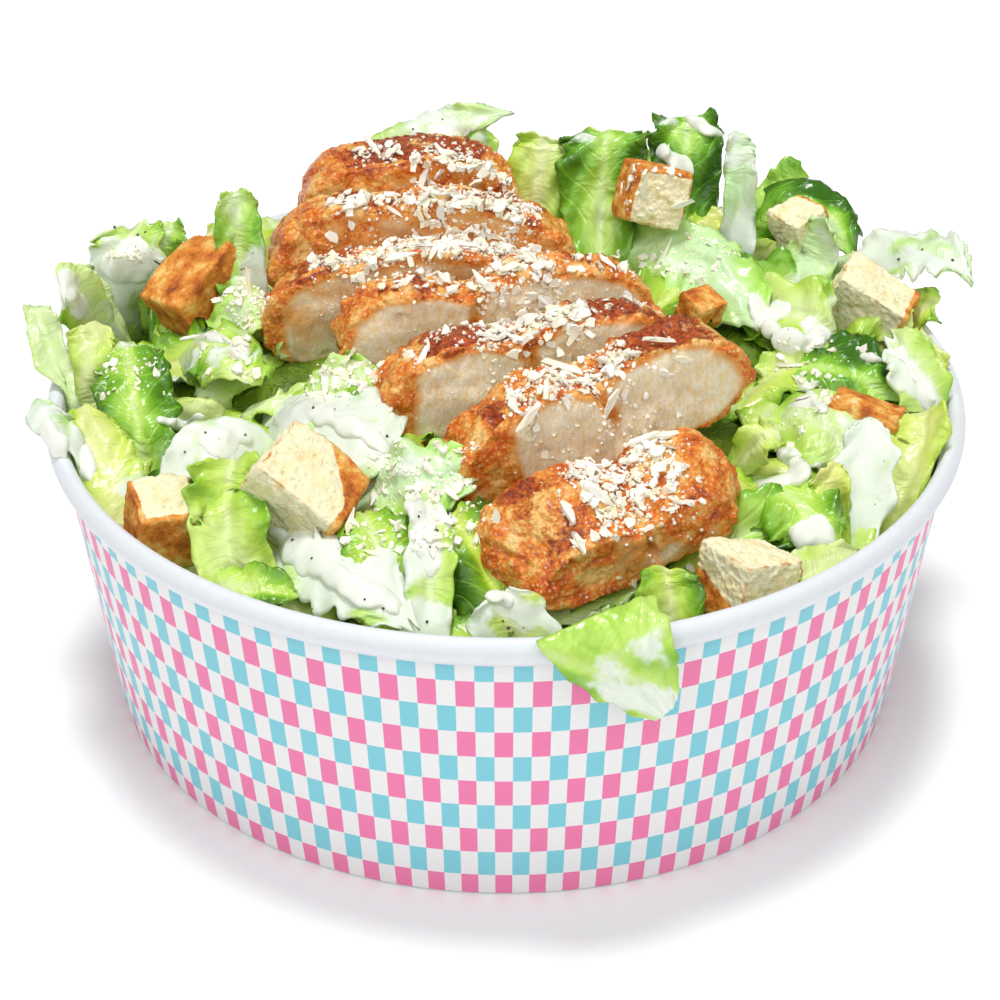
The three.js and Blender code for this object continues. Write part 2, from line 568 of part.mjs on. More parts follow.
function coreGeometry() {
  const floor = BASE_THICKNESS + GAP;
  const wallAt = (z) => outerRadius(z) - WALL - GAP;
  const side = [
    [0, floor],
    [wallAt(floor) - 2 * CORNER, floor],
    [wallAt(floor + CORE_BEVEL), floor + CORE_BEVEL],
    [wallAt(CORE_SHOULDER), CORE_SHOULDER],
  ];
  const rings = CORE_RINGS.map((share) => [share * (CORE_REACH - 1), CORE_EDGE]);
  const geometry = turned([...side, ...rings], CORE_SIDES);
  const position = geometry.attributes.position;
  const rows = side.length + rings.length;
  for (let i = 0; i < position.count; i += 1) {
    if (i % rows >= side.length) {
      const [x, y] = [position.getX(i), position.getY(i)];
      const bump = CORE_BUMP * (Math.sin(0.21 * x + 0.1 * y) + Math.sin(0.17 * y - 0.13 * x + 2));
      position.setZ(i, heapHeight(x, y) + bump);
    }
  }
  return geometry;
}

let heap = toSolid(coreGeometry());
LEAVES.forEach((leaf, i) => {
  const seed = i + 1;
  const sunk = Math.min(leaf.root[2], heapHeight(leaf.root[0], leaf.root[1]) - ROOT_DEPTH);
  const rooted = { ...leaf, root: [leaf.root[0], leaf.root[1], sunk] };
  heap = heap.add(toSolid(leafGeometry(rooted, seed)));
  for (const spot of leaf.dressing ?? []) {
    heap = heap.add(toSolid(dressingGeometry(rooted, seed, spot)));
  }
});
for (const seat of seats) {
  heap = heap.subtract(seat);
}
heap = heap.subtract(toSolid(turned(bowlProfile(GAP), BOWL_SIDES)));
addMesh('lettuce_heap', largestBody(toGeometry(heap)), 0x9ccb3c, 0.5);

export default salad;
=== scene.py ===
"""A chicken caesar salad in a round paper bowl with a checked print. Sizes are in millimetres."""

from math import atan2, copysign, cos, exp, hypot, pi, radians, sin

import bmesh
import bpy
from mathutils import Euler, Matrix, Quaternion, Vector
from mathutils.bvhtree import BVHTree
from mathutils.noise import noise, voronoi


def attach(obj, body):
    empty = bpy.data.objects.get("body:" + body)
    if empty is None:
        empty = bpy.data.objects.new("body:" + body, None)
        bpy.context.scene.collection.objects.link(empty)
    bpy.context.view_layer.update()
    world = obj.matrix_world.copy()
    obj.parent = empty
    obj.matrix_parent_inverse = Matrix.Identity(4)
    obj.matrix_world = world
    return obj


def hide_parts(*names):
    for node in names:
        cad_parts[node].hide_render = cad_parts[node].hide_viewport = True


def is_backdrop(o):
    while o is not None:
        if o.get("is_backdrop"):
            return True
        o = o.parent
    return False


bl_info = {
    "name": "Chicken Caesar Salad",
    "version": (1, 0, 0),
    "blender": (4, 5, 0),
    "location": "View3D > Sidebar > Salad",
    "description": "Builds a chicken caesar salad in a checked paper bowl",
    "category": "Add Mesh",
}

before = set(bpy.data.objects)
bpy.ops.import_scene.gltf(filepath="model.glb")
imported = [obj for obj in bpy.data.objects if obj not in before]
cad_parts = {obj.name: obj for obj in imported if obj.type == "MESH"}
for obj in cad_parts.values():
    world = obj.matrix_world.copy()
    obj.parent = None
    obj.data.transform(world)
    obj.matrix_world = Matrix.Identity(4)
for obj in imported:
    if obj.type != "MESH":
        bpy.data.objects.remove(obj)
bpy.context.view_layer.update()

MM = 0.001

# Bowl
RIM_RADIUS = 92.5
BOWL_HEIGHT = 66.0
BASE_RADIUS = 81.5
PRINT_TOP_RADIUS = 89.7
PRINT_TOP_HEIGHT = 59.4
WALL = 1.2
BASE_THICKNESS = 1.5
BASE_CORNER = 1.2
ROLL_WIDTH = 3.8
ROLL_HEIGHT = 5.4
ROLL_START = -70
ROLL_SWEEP = 230
ROLL_STEPS = 20
CORNER_STEPS = 4
WALL_STEPS = 12
BOWL_TURN_STEPS = 192
FIRST_CHECK_HEIGHT = 55.6
CHECK_PHASE = 0.62

# Heap
CORE_EDGE = 55.0
CORE_CROWN = 14.0
CORE_REACH = 85.0
CORE_TILT = 0.12
CORE_RADIUS = 84.0
CORE_SIDE = [(0, 40), (60, 40), (80, 42), (84, 50)]
CORE_SHOULDER = 48.0
CORE_DROP = 1.5
CORE_RINGS = 28
CORE_TURN_STEPS = 120

# Leaves. UNDER_RINGS are the rings of loose leaves under the named ones, as (radius, leaves).
WIDEST = 0.45
VEIN_SPACING = 5.2
VEIN_SLOPE = 1.1
FOLD_SPACING = 8.5
FOLD_DEPTH = 0.75
LEAF_TO_WALL = 1.2
ROOT_DEPTH = 2.5
TO_VIEWER = Vector((0, -0.5, 0.85)).normalized()
UNDER_RINGS = [(8, 3), (24, 8), (40, 14), (54, 19), (66, 24), (77, 30)]
UNDER_REACH = 83.0
DRESSED_COVER = 0.4
DEEP_GREEN = 0.6
DRAPE_STEPS = 20

# Distances in metres at which a leaf's blade feels the chicken or bread, touches it and goes inside
SOLID_NEAR = 0.004
SOLID_TOUCH = 0.0006
SOLID_DEPTH = 0.0012

# Chicken, bread, dressing and parmesan
SLICE_BULGE = 0.35
SLICE_GRID = (88, 42, 24)
CROUTON_GRID = (34, 34, 34)
DRIP_LEVEL = 72.0
DRIP_STEP = 0.7
DRESSING_VOXEL = 0.45
CHIP_KINDS = 10
PEPPER_A_LEAF = 4

# Lights from far away as (name, direction, softness in degrees, the setting of their strength)
LIGHTS = [
    ("main_light", (-0.03, 0.1, 1), 15, "main_light"),
    ("left_light", (-0.6, -0.8, 0.95), 50, "front_light"),
    ("right_light", (0.55, -0.85, 0.9), 50, "front_light"),
]

# Floor, in metres
FLOOR_SIZE = 3
FLOOR_DROP = 0.0002

# Camera, fitted to the bowl's rim, print and base
CAMERA_TARGET = Vector((-1.1, 0, 37.8))
CAMERA_DISTANCE = 600.0
CAMERA_ELEVATION = 32.21
CAMERA_LENS = 104.1
SENSOR_WIDTH = 36
CAMERA_TILT = radians(CAMERA_ELEVATION)
CAMERA_BACK = Vector((0, -cos(CAMERA_TILT), sin(CAMERA_TILT)))
VIEWPOINT = CAMERA_TARGET + CAMERA_BACK * CAMERA_DISTANCE


def leaf(root, middle, tip, width, ends, tone, cup=0, frill=0.6, roll=0, spots=()):
    """A leaf that runs from root over middle to tip.

    ends are the shares of its width at the root and the tip, cup curves it across, frill is the depth of its
    waves and roll turns it about its rib. tone is its depth of green, its yellowness and how much of it thin
    dressing covers. spots are thick dressing as (share along, share across, length, width).
    """
    return dict(root=root, middle=middle, tip=tip, width=width, ends=ends, tone=tone, cup=cup, frill=frill,
                roll=roll, spots=spots)


LEAVES = [
    leaf((-38, 61, 66), (-24, 66, 87), (2, 70, 93), 11, (0.8, 0.15), (0.26, 0.1, 0.42), cup=-0.2, frill=1),
    leaf((6, 50, 74), (8, 58, 87), (9, 62, 92), 15, (0.7, 0.5), (0.50, 0.5, 0.0), cup=-0.3, frill=0.5),
    leaf((20, 42, 72), (21, 55, 87), (22, 62, 94), 19, (0.5, 0.8), (0.84, 0.2, 0.1), frill=2),
    leaf((38, 46, 76), (39, 58, 89), (39, 64, 95), 15, (0.8, 0.8), (1.0, 0.1, 0.1), frill=2),
    leaf((49, 42, 74), (50, 49, 88), (49, 54, 97), 7, (1, 0.3), (0.06, 0.0, 0.42), frill=1),
    leaf((35, 44, 70), (43, 49, 77), (49, 56, 77), 8, (0.8, 0.5), (0.50, 0.9, 0.0)),
    leaf((50, 56, 80), (64, 56, 79), (74, 45, 69), 16, (0.5, 0.5), (1.0, 0.1, 0.0), cup=-0.5, frill=0.6),
    leaf((71, 34, 64), (84, 35, 77), (96, 22, 77), 17, (0.9, 0.15), (0.12, 0.1, 0.48), frill=1.6, roll=-15),
    leaf((20, 44, 74), (38, 35, 77), (53, 14, 71), 20, (0.7, 0.6), (0.28, 0.0, 0.1), cup=-0.3, frill=1),
    leaf((60, 30, 66), (65, 38, 75), (67, 38, 84), 11, (1, 0.1), (0.20, 0.1, 0.3), frill=1),
    leaf((50, 25, 68), (60, 16, 73), (69, 13, 68), 15, (0.8, 0.6), (0.50, 0.4, 0.1), cup=0.3,
         spots=[(0.3, 0.1, 9, 5), (0.7, -0.3, 8, 5)]),
    leaf((66, 30, 66), (75, 20, 73), (84, 17, 67), 14, (0.7, 0.4), (0.50, 0.5, 0.0), cup=-0.4),
    leaf((52, 10, 66), (67, -1, 69), (82, -7, 63), 20, (0.8, 0.5), (0.96, 0.1, 0.0), cup=-0.2, frill=1.2),
    leaf((86, -12, 58), (83, -5, 68), (76, 7, 74), 12, (0.5, 0.5), (0.40, 0.3, 0.45), cup=0.3,
         spots=[(0.45, 0, 10, 3.5)]),
    leaf((82, 26, 60), (87, 25, 68), (90, 24, 71), 9, (1, 0.6), (0.50, 0.5, 0.0), frill=1.2),
    leaf((83, -16, 56), (86, 0, 66), (86, 15, 69), 8, (0.7, 0.4), (0.42, 0.7, 0.1), roll=20),
    leaf((72, -38, 52), (80, -27, 63), (83, -13, 68), 13, (0.5, 0.5), (0.42, 0.7, 0.1), cup=0.4, frill=1,
         roll=-20),
    leaf((65, -46, 53), (69, -35, 66), (70, -26, 73), 12, (0.5, 0.1), (0.20, 0.2, 0.8), cup=0.4),
    leaf((62, -46, 54), (62, -40, 64), (61, -36, 69), 8, (0.7, 0.4), (0.45, 0.9, 0.1), frill=1.5),
    leaf((52, -9, 64), (61, -20, 69), (70, -29, 62), 19, (0.8, 0.6), (0.35, 0.3, 0.25), cup=-0.3, frill=1,
         spots=[(0.25, 0.4, 9, 5)]),
    leaf((46, -30, 61), (54, -42, 65), (62, -51, 57), 17, (0.8, 0.5), (0.58, 0.3, 0.15), cup=-0.3, frill=1,
         spots=[(0.25, 0.2, 9, 7), (0.85, 0, 9, 7)]),
    leaf((44, -27, 62), (49, -29, 70), (54, -27, 69), 8, (0.7, 0.5), (0.48, 0.5, 0.0), frill=1),
    leaf((40, -69, 52), (53, -63, 60), (67, -51, 58), 9, (0.5, 0.3), (0.35, 0.5, 0.1), cup=0.3),
    leaf((31, -72, 51), (30, -69, 60), (29, -65, 65), 12, (1, 0.6), (0.66, 0.6, 0.0), cup=0.3),
    leaf((1, -77, 50), (1, -75, 58), (0, -72, 64), 17, (1, 0.15), (0.45, 0.6, 0.5)),
    leaf((-15, -76, 50), (-14, -66, 63), (-14, -52, 71), 9, (0.9, 0.7), (0.50, 0.4, 0.55), cup=0.3,
         spots=[(0.65, 0, 13, 5)]),
    leaf((-45, -42, 62), (-32, -61, 64), (-17, -76, 58), 19, (0.7, 0.2), (0.40, 0.2, 0.70), cup=-0.3,
         spots=[(0.4, 0, 14, 11), (0.85, 0, 8, 5)]),
    leaf((-49, -60, 52), (-52, -50, 66), (-51, -39, 73), 15, (0.9, 0.5), (0.46, 0.5, 0.0), cup=0.4, frill=1),
    leaf((-62, -55, 53), (-50, -65, 60), (-38, -66, 58), 11, (0.4, 0.4), (0.74, 0.4, 0.0), cup=-0.3),
    leaf((-46, -27, 64), (-56, -30, 69), (-67, -34, 62), 13, (1, 0.1), (0.35, 0.2, 0.62),
         spots=[(0.45, 0, 10, 7)]),
    leaf((-49, -8, 67), (-35, -26, 73), (-21, -39, 69), 22, (0.7, 0.6), (0.30, 0.1, 0.62), cup=-0.3,
         frill=0.8, spots=[(0.3, 0, 15, 11), (0.75, 0.2, 9, 6)]),
    leaf((-32, -38, 64), (-18, -44, 70), (-4, -43, 69), 16, (0.9, 0.7), (0.25, 0.0, 0.1), frill=0.8),
    leaf((-41, -13, 67), (-32, -14, 74), (-22, -10, 73), 12, (0.8, 0.6), (0.55, 0.2, 0.1), frill=1),
    leaf((-70, -24, 58), (-74, -10, 69), (-77, 9, 71), 16, (0.7, 0.7), (0.86, 0.3, 0.05), cup=-0.3,
         frill=0.8),
    leaf((-69, 15, 66), (-59, 2, 74), (-50, -13, 69), 15, (0.7, 0.5), (0.48, 0.4, 0.3), cup=-0.4,
         frill=1.2, spots=[(0.4, 0.2, 14, 3.5), (0.7, 0.3, 5, 5)]),
    leaf((-84, -4, 59), (-85, 6, 69), (-83, 17, 71), 10, (0.9, 0.7), (0.30, 0.6, 0.0), cup=-0.3),
    leaf((-86, -12, 58), (-92, 2, 72), (-96, 12, 77), 7, (0.9, 0.5), (0.08, 0.3, 0.1), cup=0.2),
    leaf((-80, 24, 62), (-86, 25, 74), (-91, 28, 78), 6, (1, 0.6), (0.08, 0.3, 0.1)),
    leaf((-84, 24, 60), (-88, 18, 75), (-92, 16, 80), 12, (0.8, 0.5), (0.35, 0.4, 0.35), cup=0.2,
         spots=[(0.8, 0, 8, 8)]),
    leaf((-69, -44, 52), (-78, -30, 64), (-84, -12, 68), 14, (0.7, 0.5), (0.50, 0.7, 0.2), cup=-0.3,
         frill=1, spots=[(0.6, 0.4, 12, 4)]),
    leaf((-78, -33, 58), (-87, -27, 70), (-92, -16, 72), 9, (0.8, 0.6), (0.30, 0.0, 0.5), cup=-0.6,
         spots=[(0.5, 0.2, 12, 4)]),
    leaf((-54, 20, 70), (-55, 28, 86), (-56, 32, 93), 10, (0.9, 0.2), (0.55, 0.2, 0.35), cup=0.3, frill=1),
    leaf((-68, 50, 62), (-63, 38, 78), (-60, 34, 82), 8, (1, 0.5), (0.50, 0.8, 0.0)),
    leaf((-77, 38, 55), (-79, 32.5, 76), (-76, 41.5, 83), 16, (0.6, 0.5), (0.55, 0.3, 0.40), cup=0.2,
         frill=0.8, spots=[(0.6, -0.2, 12, 8)]),
    leaf((-74, 33, 62), (-72, 36, 76), (-70, 40, 82), 10, (0.6, 0.5), (0.70, 0.3, 0.0), frill=1, roll=-25),
    leaf((-60, 14, 66), (-54, 15, 74), (-49, 21, 74), 12, (0.9, 0.6), (0.35, 0.2, 0.1), frill=1),
    leaf((3, -68, 54), (-5, -62, 64), (-10, -48, 69), 17, (0.7, 0.6), (0.98, 0.7, 0.0), frill=1.2),
    leaf((-17, -74, 52), (-22, -64, 62), (-27, -50, 67), 15, (0.6, 0.6), (0.72, 0.4, 0.0), frill=1),
    leaf((-5, 66, 62), (-12, 78, 76), (-18, 82, 80), 22, (0.8, 0.5), (0.55, 0.3, 0.2), cup=0.3, frill=1.6),
    leaf((25, 66, 62), (28, 76, 76), (30, 80, 81), 22, (0.8, 0.6), (0.65, 0.3, 0.0), cup=0.3, frill=1.6),
    leaf((-42, 56, 58), (-48, 64, 66), (-50, 72, 67), 20, (0.8, 0.6), (0.50, 0.4, 0.1), cup=0.2, frill=1),
    leaf((56, 52, 66), (63, 62, 74), (68, 66, 77), 18, (0.8, 0.6), (0.60, 0.2, 0.0), cup=0.2, frill=1.2),
]

# The leaf over the rim. drape is its way over the rim and down as (radius, height). Its corners are (degrees
# from -Y towards +X, share of the drape).
RIM_LEAF = dict(
    drape=[(80, 67.5), (86, 69), (91, 68.2), (94.2, 64.5), (94.7, 58), (94.2, 47)],
    inner_left=(3.2, 0.4), inner_right=(17.8, 0.14), outer_right=(18.9, 0.85), outer_left=(16.6, 0.99),
    bulge=1.6, ripple=0.35,
)

# Slices of one grilled breast from the back to the front. place is the middle of the lower front edge, size
# is width, height and thickness, turn is yaw, lean and roll in degrees. cleft is where two lobes part.
# seared is how much the front face browned, wrap is how far the crust reaches round its left end, and chars
# are dark patches as (share across, spread, strength).
SLICES = [
    dict(place=(-20, 42, 69), size=(49, 25.5, 17), turn=(2, 5, -1), cleft=None, seared=0.85, wrap=14,
         chars=[(-0.1, 0.5, 1.0), (0.5, 0.3, 0.4)]),
    dict(place=(-17, 25, 67), size=(65, 25, 14.5), turn=(4, 6, -2), cleft=None, seared=0.62, wrap=16,
         chars=[(-0.4, 0.3, 0.9), (0.45, 0.3, 0.9)]),
    dict(place=(-18, 10.5, 63), size=(63, 24.5, 11.5), turn=(6, 6, 2), cleft=None, seared=0.34, wrap=7,
         chars=[(-0.6, 0.25, 0.9), (0.6, 0.3, 0.8)]),
    dict(place=(-1, -1.5, 71), size=(65, 19, 10.5), turn=(10, 6, 2), cleft=-0.15, seared=0.12, wrap=5,
         chars=[(-0.5, 0.3, 0.7), (0.6, 0.5, 0.5)]),
    dict(place=(7, -18.5, 66.5), size=(63, 21, 14), turn=(13, 7, 6), cleft=-0.05, seared=0.0, wrap=8,
         chars=[(-0.35, 0.4, 1.0), (0.6, 0.35, 1.0)]),
    dict(place=(22.5, -34, 65.5), size=(63, 22, 14.5), turn=(20, 8, 13), cleft=0, seared=0.05, wrap=12,
         chars=[(-0.6, 0.25, 0.5), (0.6, 0.4, 1.0)]),
    dict(place=(26, -61.5, 58.5), size=(54, 19, 20), turn=(27, 0, 6), cleft=0.1, seared=1.0, wrap=20,
         chars=[(-0.6, 0.3, 0.6), (0.5, 0.3, 0.4)], end_piece=True),
]

# Toasted cubes of bread. turn is in degrees, and crusts are the local directions from which they were baked.
TOP, FRONT, RIGHT, LEFT = (0, 0, 1), (0, -1, 0), (1, 0, 0), (-1, 0, 0)
ALL_ROUND = [TOP, FRONT, RIGHT, LEFT]
CROUTONS = [
    dict(middle=(-64, 26, 74), size=(20, 14, 12), turn=(15, -25, 50), crusts=ALL_ROUND, toast=1.0),
    dict(middle=(-65, -45, 61), size=(13, 14, 14), turn=(8, 6, 20), crusts=[FRONT, LEFT], toast=0.95),
    dict(middle=(-39, -44, 67), size=(20, 16, 17), turn=(25, 25, -30), crusts=[(0.62, 0.5, 0.45), RIGHT],
         toast=0.95),
    dict(middle=(44.5, -63.5, 60), size=(15, 14, 13), turn=(-12, 10, 38), crusts=[(-0.75, 0.2, -0.5)],
         toast=0.9),
    dict(middle=(31, 45, 86), size=(13, 12, 13), turn=(-20, 12, 12), crusts=[TOP, LEFT], toast=0.85),
    dict(middle=(63, 45, 78), size=(9, 10, 10), turn=(10, -12, 35), crusts=[RIGHT], toast=0.8),
    dict(middle=(76, 24, 71), size=(18, 12, 12), turn=(15, 22, -25), crusts=[RIGHT], toast=0.9),
    dict(middle=(71, -15, 67), size=(15, 10, 6), turn=(-10, 12, -20), crusts=ALL_ROUND, toast=0.8),
    dict(middle=(40, 13, 76), size=(8, 7, 6), turn=(10, 15, 40), crusts=ALL_ROUND, toast=1.0),
]

# Drifts of parmesan: on a slice as (slice, from share, to share, way back from its front edge, spread,
# flakes), and on a leaf as (leaf, from share along, to share along, spread across, flakes).
SLICE_DRIFTS = [
    (1, -0.5, -0.1, 7, 3, 30), (1, 0.0, 0.9, 1, 5, 130), (2, -0.6, 0.75, 3, 5, 170),
    (2, -0.1, 0.7, 0, 5, 130), (3, -0.65, 0.9, 4, 6, 320), (3, -0.2, 0.8, 8, 4, 140),
    (4, -0.1, 0.4, 2, 6, 130), (4, -0.7, 0.9, 5, 5, 80), (5, -0.3, 0.4, 4, 7, 180), (5, -0.8, 0.9, 7, 6, 60),
    (6, -0.5, 0.3, 6, 7, 170), (6, -0.6, 0.6, 1, 5, 60), (7, -0.3, 0.5, 10, 6, 190),
    (7, -0.2, 0.6, 18, 5, 90), (7, -0.6, 0.7, 4, 6, 50),
]
LEAF_DRIFTS = [
    (9, 0.1, 0.7, 0.8, 60), (32, 0.2, 0.95, 0.9, 70), (33, 0.1, 0.9, 0.9, 60), (34, 0.5, 0.9, 0.9, 20),
    (46, 0.3, 0.9, 0.9, 40), (26, 0.6, 1.0, 0.9, 15), (13, 0.1, 0.6, 0.8, 25), (20, 0.1, 0.5, 0.8, 20),
    (35, 0.4, 0.9, 0.8, 20), (44, 0.3, 0.6, 0.5, 8), (48, 0.6, 0.9, 0.8, 20), (47, 0.6, 0.9, 0.8, 20),
]

# Runs of thick dressing as (width, path). A path's places are given at DRIP_LEVEL as seen from the viewpoint.
DRIPS = [
    (4.6, [(52, 24), (53, 14), (56, 7), (62, 5), (65, 11)]), (2.4, [(58, -9), (60, -16), (62, -22)]),
    (5.0, [(53, -38), (55, -41), (55, -47)]), (5.4, [(53, -65), (56, -68)]),
    (1.8, [(-66, 7), (-61, 9), (-55, 5), (-52, -2)]), (4.4, [(-54, 4), (-53, 3)]),
    (2.4, [(-67, -25), (-63, -27), (-59, -24)]), (4.2, [(36, 96), (40, 88), (42, 85)]),
    (3.0, [(43, 114), (47, 107), (50, 104)]), (2.6, [(80, 3), (81, -8), (84, -18)]),
    (2.2, [(77, 3), (80, -1)]),
    (2.6, [(-38, 108), (-36, 112), (-32, 115)]), (5.0, [(-83, 40), (-78, 36), (-76, 39)]),
    (5.0, [(-92, 27), (-90, 24), (-88, 20)]), (2.2, [(-85, -33), (-82, -42), (-79, -49)]),
    (4.6, [(-40, -18), (-34, -25), (-28, -29), (-23, -36)]), (3.4, [(-57, -33), (-53, -29), (-49, -33)]),
    (4.4, [(-17, -56), (-15, -65), (-14, -72)]),
    (6.0, [(-42, -65), (-37, -71), (-31, -79), (-24, -86)]), (3.2, [(-2, -86), (1, -88)]),
    (2.4, [(72, 0), (76, -2)]),
]

# Leaves with cracked pepper on them, counted from 1
PEPPERED_LEAVES = [8, 27, 30, 31, 44, 1, 25, 26]


def srgb(red, green, blue):
    """A colour given as 0 to 255, in the linear values that nodes take."""
    shares = [c / 255 for c in (red, green, blue)]
    return tuple(c / 12.92 if c <= 0.04045 else ((c + 0.055) / 1.055) ** 2.4 for c in shares) + (1.0,)


def rgba(setting):
    """A colour setting as nodes take it."""
    return (*setting, 1.0)


def draws(seed):
    """A repeatable run of numbers from 0 to 1."""
    state = seed * 7919 + 17

    def draw():
        nonlocal state
        state = state * 16807 % 2147483647
        return state / 2147483647

    return draw


def between(low, high, share):
    return low + (high - low) * share


def smooth_step(value, low, high):
    share = min(1.0, max(0.0, (value - low) / (high - low)))
    return share * share * (3 - 2 * share)


# Finishes


def arithmetic(operation, swapped=False):
    """An operator that adds a Math node."""

    def applied(wire, other):
        return wire.math(operation, *((other, wire) if swapped else (wire, other)))

    return applied


class Wire:
    """An output of a finish's nodes. Arithmetic on it adds Math nodes."""

    def __init__(self, finish, socket):
        self.finish = finish
        self.socket = socket

    def math(self, operation, *values):
        return self.finish.node("ShaderNodeMath", {"operation": operation}, dict(enumerate(values)))

    __add__ = arithmetic("ADD")
    __radd__ = arithmetic("ADD", swapped=True)
    __sub__ = arithmetic("SUBTRACT")
    __rsub__ = arithmetic("SUBTRACT", swapped=True)
    __mul__ = arithmetic("MULTIPLY")
    __rmul__ = arithmetic("MULTIPLY", swapped=True)
    __truediv__ = arithmetic("DIVIDE")
    __rtruediv__ = arithmetic("DIVIDE", swapped=True)
    __mod__ = arithmetic("FLOORED_MODULO")

    def __abs__(self):
        return self.math("ABSOLUTE", self)

    def floor(self):
        return self.math("FLOOR", self)

    def above(self, level):
        return self.math("GREATER_THAN", self, level)

    def smooth(self, low, high):
        """0 below low, 1 above high and a soft step between them."""
        return self.finish.node(
            "ShaderNodeMapRange", {"interpolation_type": "SMOOTHSTEP"},
            {"Value": self, "From Min": low, "From Max": high, "To Min": 0.0, "To Max": 1.0})


class Finish:
    """A material, with the nodes that its pattern needs."""

    def __init__(self, name, **constants):
        self.material = bpy.data.materials.new(name)
        self.material.use_nodes = True
        self.tree = self.material.node_tree
        self.tree.nodes.clear()
        self.shader = self.tree.nodes.new("ShaderNodeBsdfPrincipled")
        output = self.tree.nodes.new("ShaderNodeOutputMaterial")
        self.tree.links.new(self.shader.outputs["BSDF"], output.inputs["Surface"])
        for name_, value in constants.items():
            self.shader.inputs[name_.replace("_", " ")].default_value = value

    def node(self, kind, settings=None, inputs=None, output=0):
        made = self.tree.nodes.new(kind)
        for name, value in (settings or {}).items():
            setattr(made, name, value)
        for name, value in (inputs or {}).items():
            if isinstance(value, Wire):
                self.tree.links.new(value.socket, made.inputs[name])
            else:
                made.inputs[name].default_value = value
        return Wire(self, made.outputs[output])

    def set(self, **sockets):
        for name, wire in sockets.items():
            self.tree.links.new(wire.socket, self.shader.inputs[name.replace("_", " ")])

    def attribute(self, name, output="Fac"):
        return self.node("ShaderNodeAttribute", {"attribute_name": name}, output=output)

    def parts(self, vector):
        """The three parts of a vector."""
        split = self.node("ShaderNodeSeparateXYZ", inputs={"Vector": vector})
        return [Wire(self, socket) for socket in split.socket.node.outputs]

    def place(self, size=1.0, stretch=(1, 1, 1), turn=(0, 0, 0), along=None):
        """Pattern coordinates in steps of size millimetres, in space or along the piece's own attribute."""
        source = along or self.node("ShaderNodeTexCoord", output="Object")
        steps = (1.0 if along else 1 / MM) / size
        return self.node("ShaderNodeMapping", inputs={
            "Vector": source, "Rotation": [radians(a) for a in turn],
            "Scale": [steps * share for share in stretch]})

    def noise(self, place, detail, roughness=0.5):
        return self.node("ShaderNodeTexNoise", inputs={
            "Vector": place, "Scale": 1.0, "Detail": detail, "Roughness": roughness})

    def cells(self, place):
        return self.node("ShaderNodeTexVoronoi", inputs={"Vector": place, "Scale": 1.0}, output="Distance")

    def mix(self, share, first, second, blend="MIX"):
        return self.node("ShaderNodeMix", {"data_type": "RGBA", "blend_type": blend}, {
            0: share, 6: first, 7: second}, output=2)

    def ramp(self, share, *stops):
        """Colours along share, given as (place, colour) stops."""
        wire = self.node("ShaderNodeValToRGB", inputs={"Fac": share})
        elements = wire.socket.node.color_ramp.elements
        while len(elements) < len(stops):
            elements.new(0.5)
        for element, (position, colour) in zip(elements, stops):
            element.position = position
            element.color = colour
        return wire

    def bump(self, height, depth, strength=1.0):
        return self.node("ShaderNodeBump", inputs={
            "Height": height, "Distance": depth * MM, "Strength": strength})


def printed_paper(settings):
    """White coated board, printed outside with two colours of checks that run round the bowl."""
    f = Finish("printed_paper", Roughness=0.42, Specular_IOR_Level=0.4)
    x, y, z = f.parts(f.place())
    around = x.math("ARCTAN2", x, y * -1.0) / (2 * pi) * settings.columns + CHECK_PHASE
    down = (FIRST_CHECK_HEIGHT - z) / (settings.row_height / MM)
    column, row = around.floor(), down.floor()
    coloured = 1 - (row + column) % 2
    first_row = 1 - row % 2
    ink = f.mix(first_row, rgba(settings.second_colour), rgba(settings.first_colour))
    mottle = f.noise(f.place(0.7), detail=1)
    ground = f.mix(mottle * 0.5, srgb(240, 239, 239), srgb(234, 233, 234))
    inked = f.mix(mottle * 0.1, ink, srgb(250, 250, 250), "SCREEN")
    checks = f.mix(coloured, ground, f.mix(0.12, ink, inked))
    radius = x.math("SQRT", x * x + y * y)
    slope = (PRINT_TOP_RADIUS - BASE_RADIUS) / PRINT_TOP_HEIGHT
    outside = radius.above(BASE_RADIUS - 0.5 + z * slope)
    printed = outside * (1 - z.above(PRINT_TOP_HEIGHT)) * z.above(0.3)
    fibre = f.noise(f.place(1.6, (1, 1, 0.6)), detail=2, roughness=0.6)
    board = f.mix(fibre, srgb(224, 229, 235), srgb(234, 237, 240))
    f.set(Base_Color=f.mix(printed, board, checks))
    f.set(Roughness=0.36 + fibre * 0.14)
    f.set(Normal=f.bump(f.noise(f.place(0.35), detail=1), 0.02, 0.6))
    return f.material


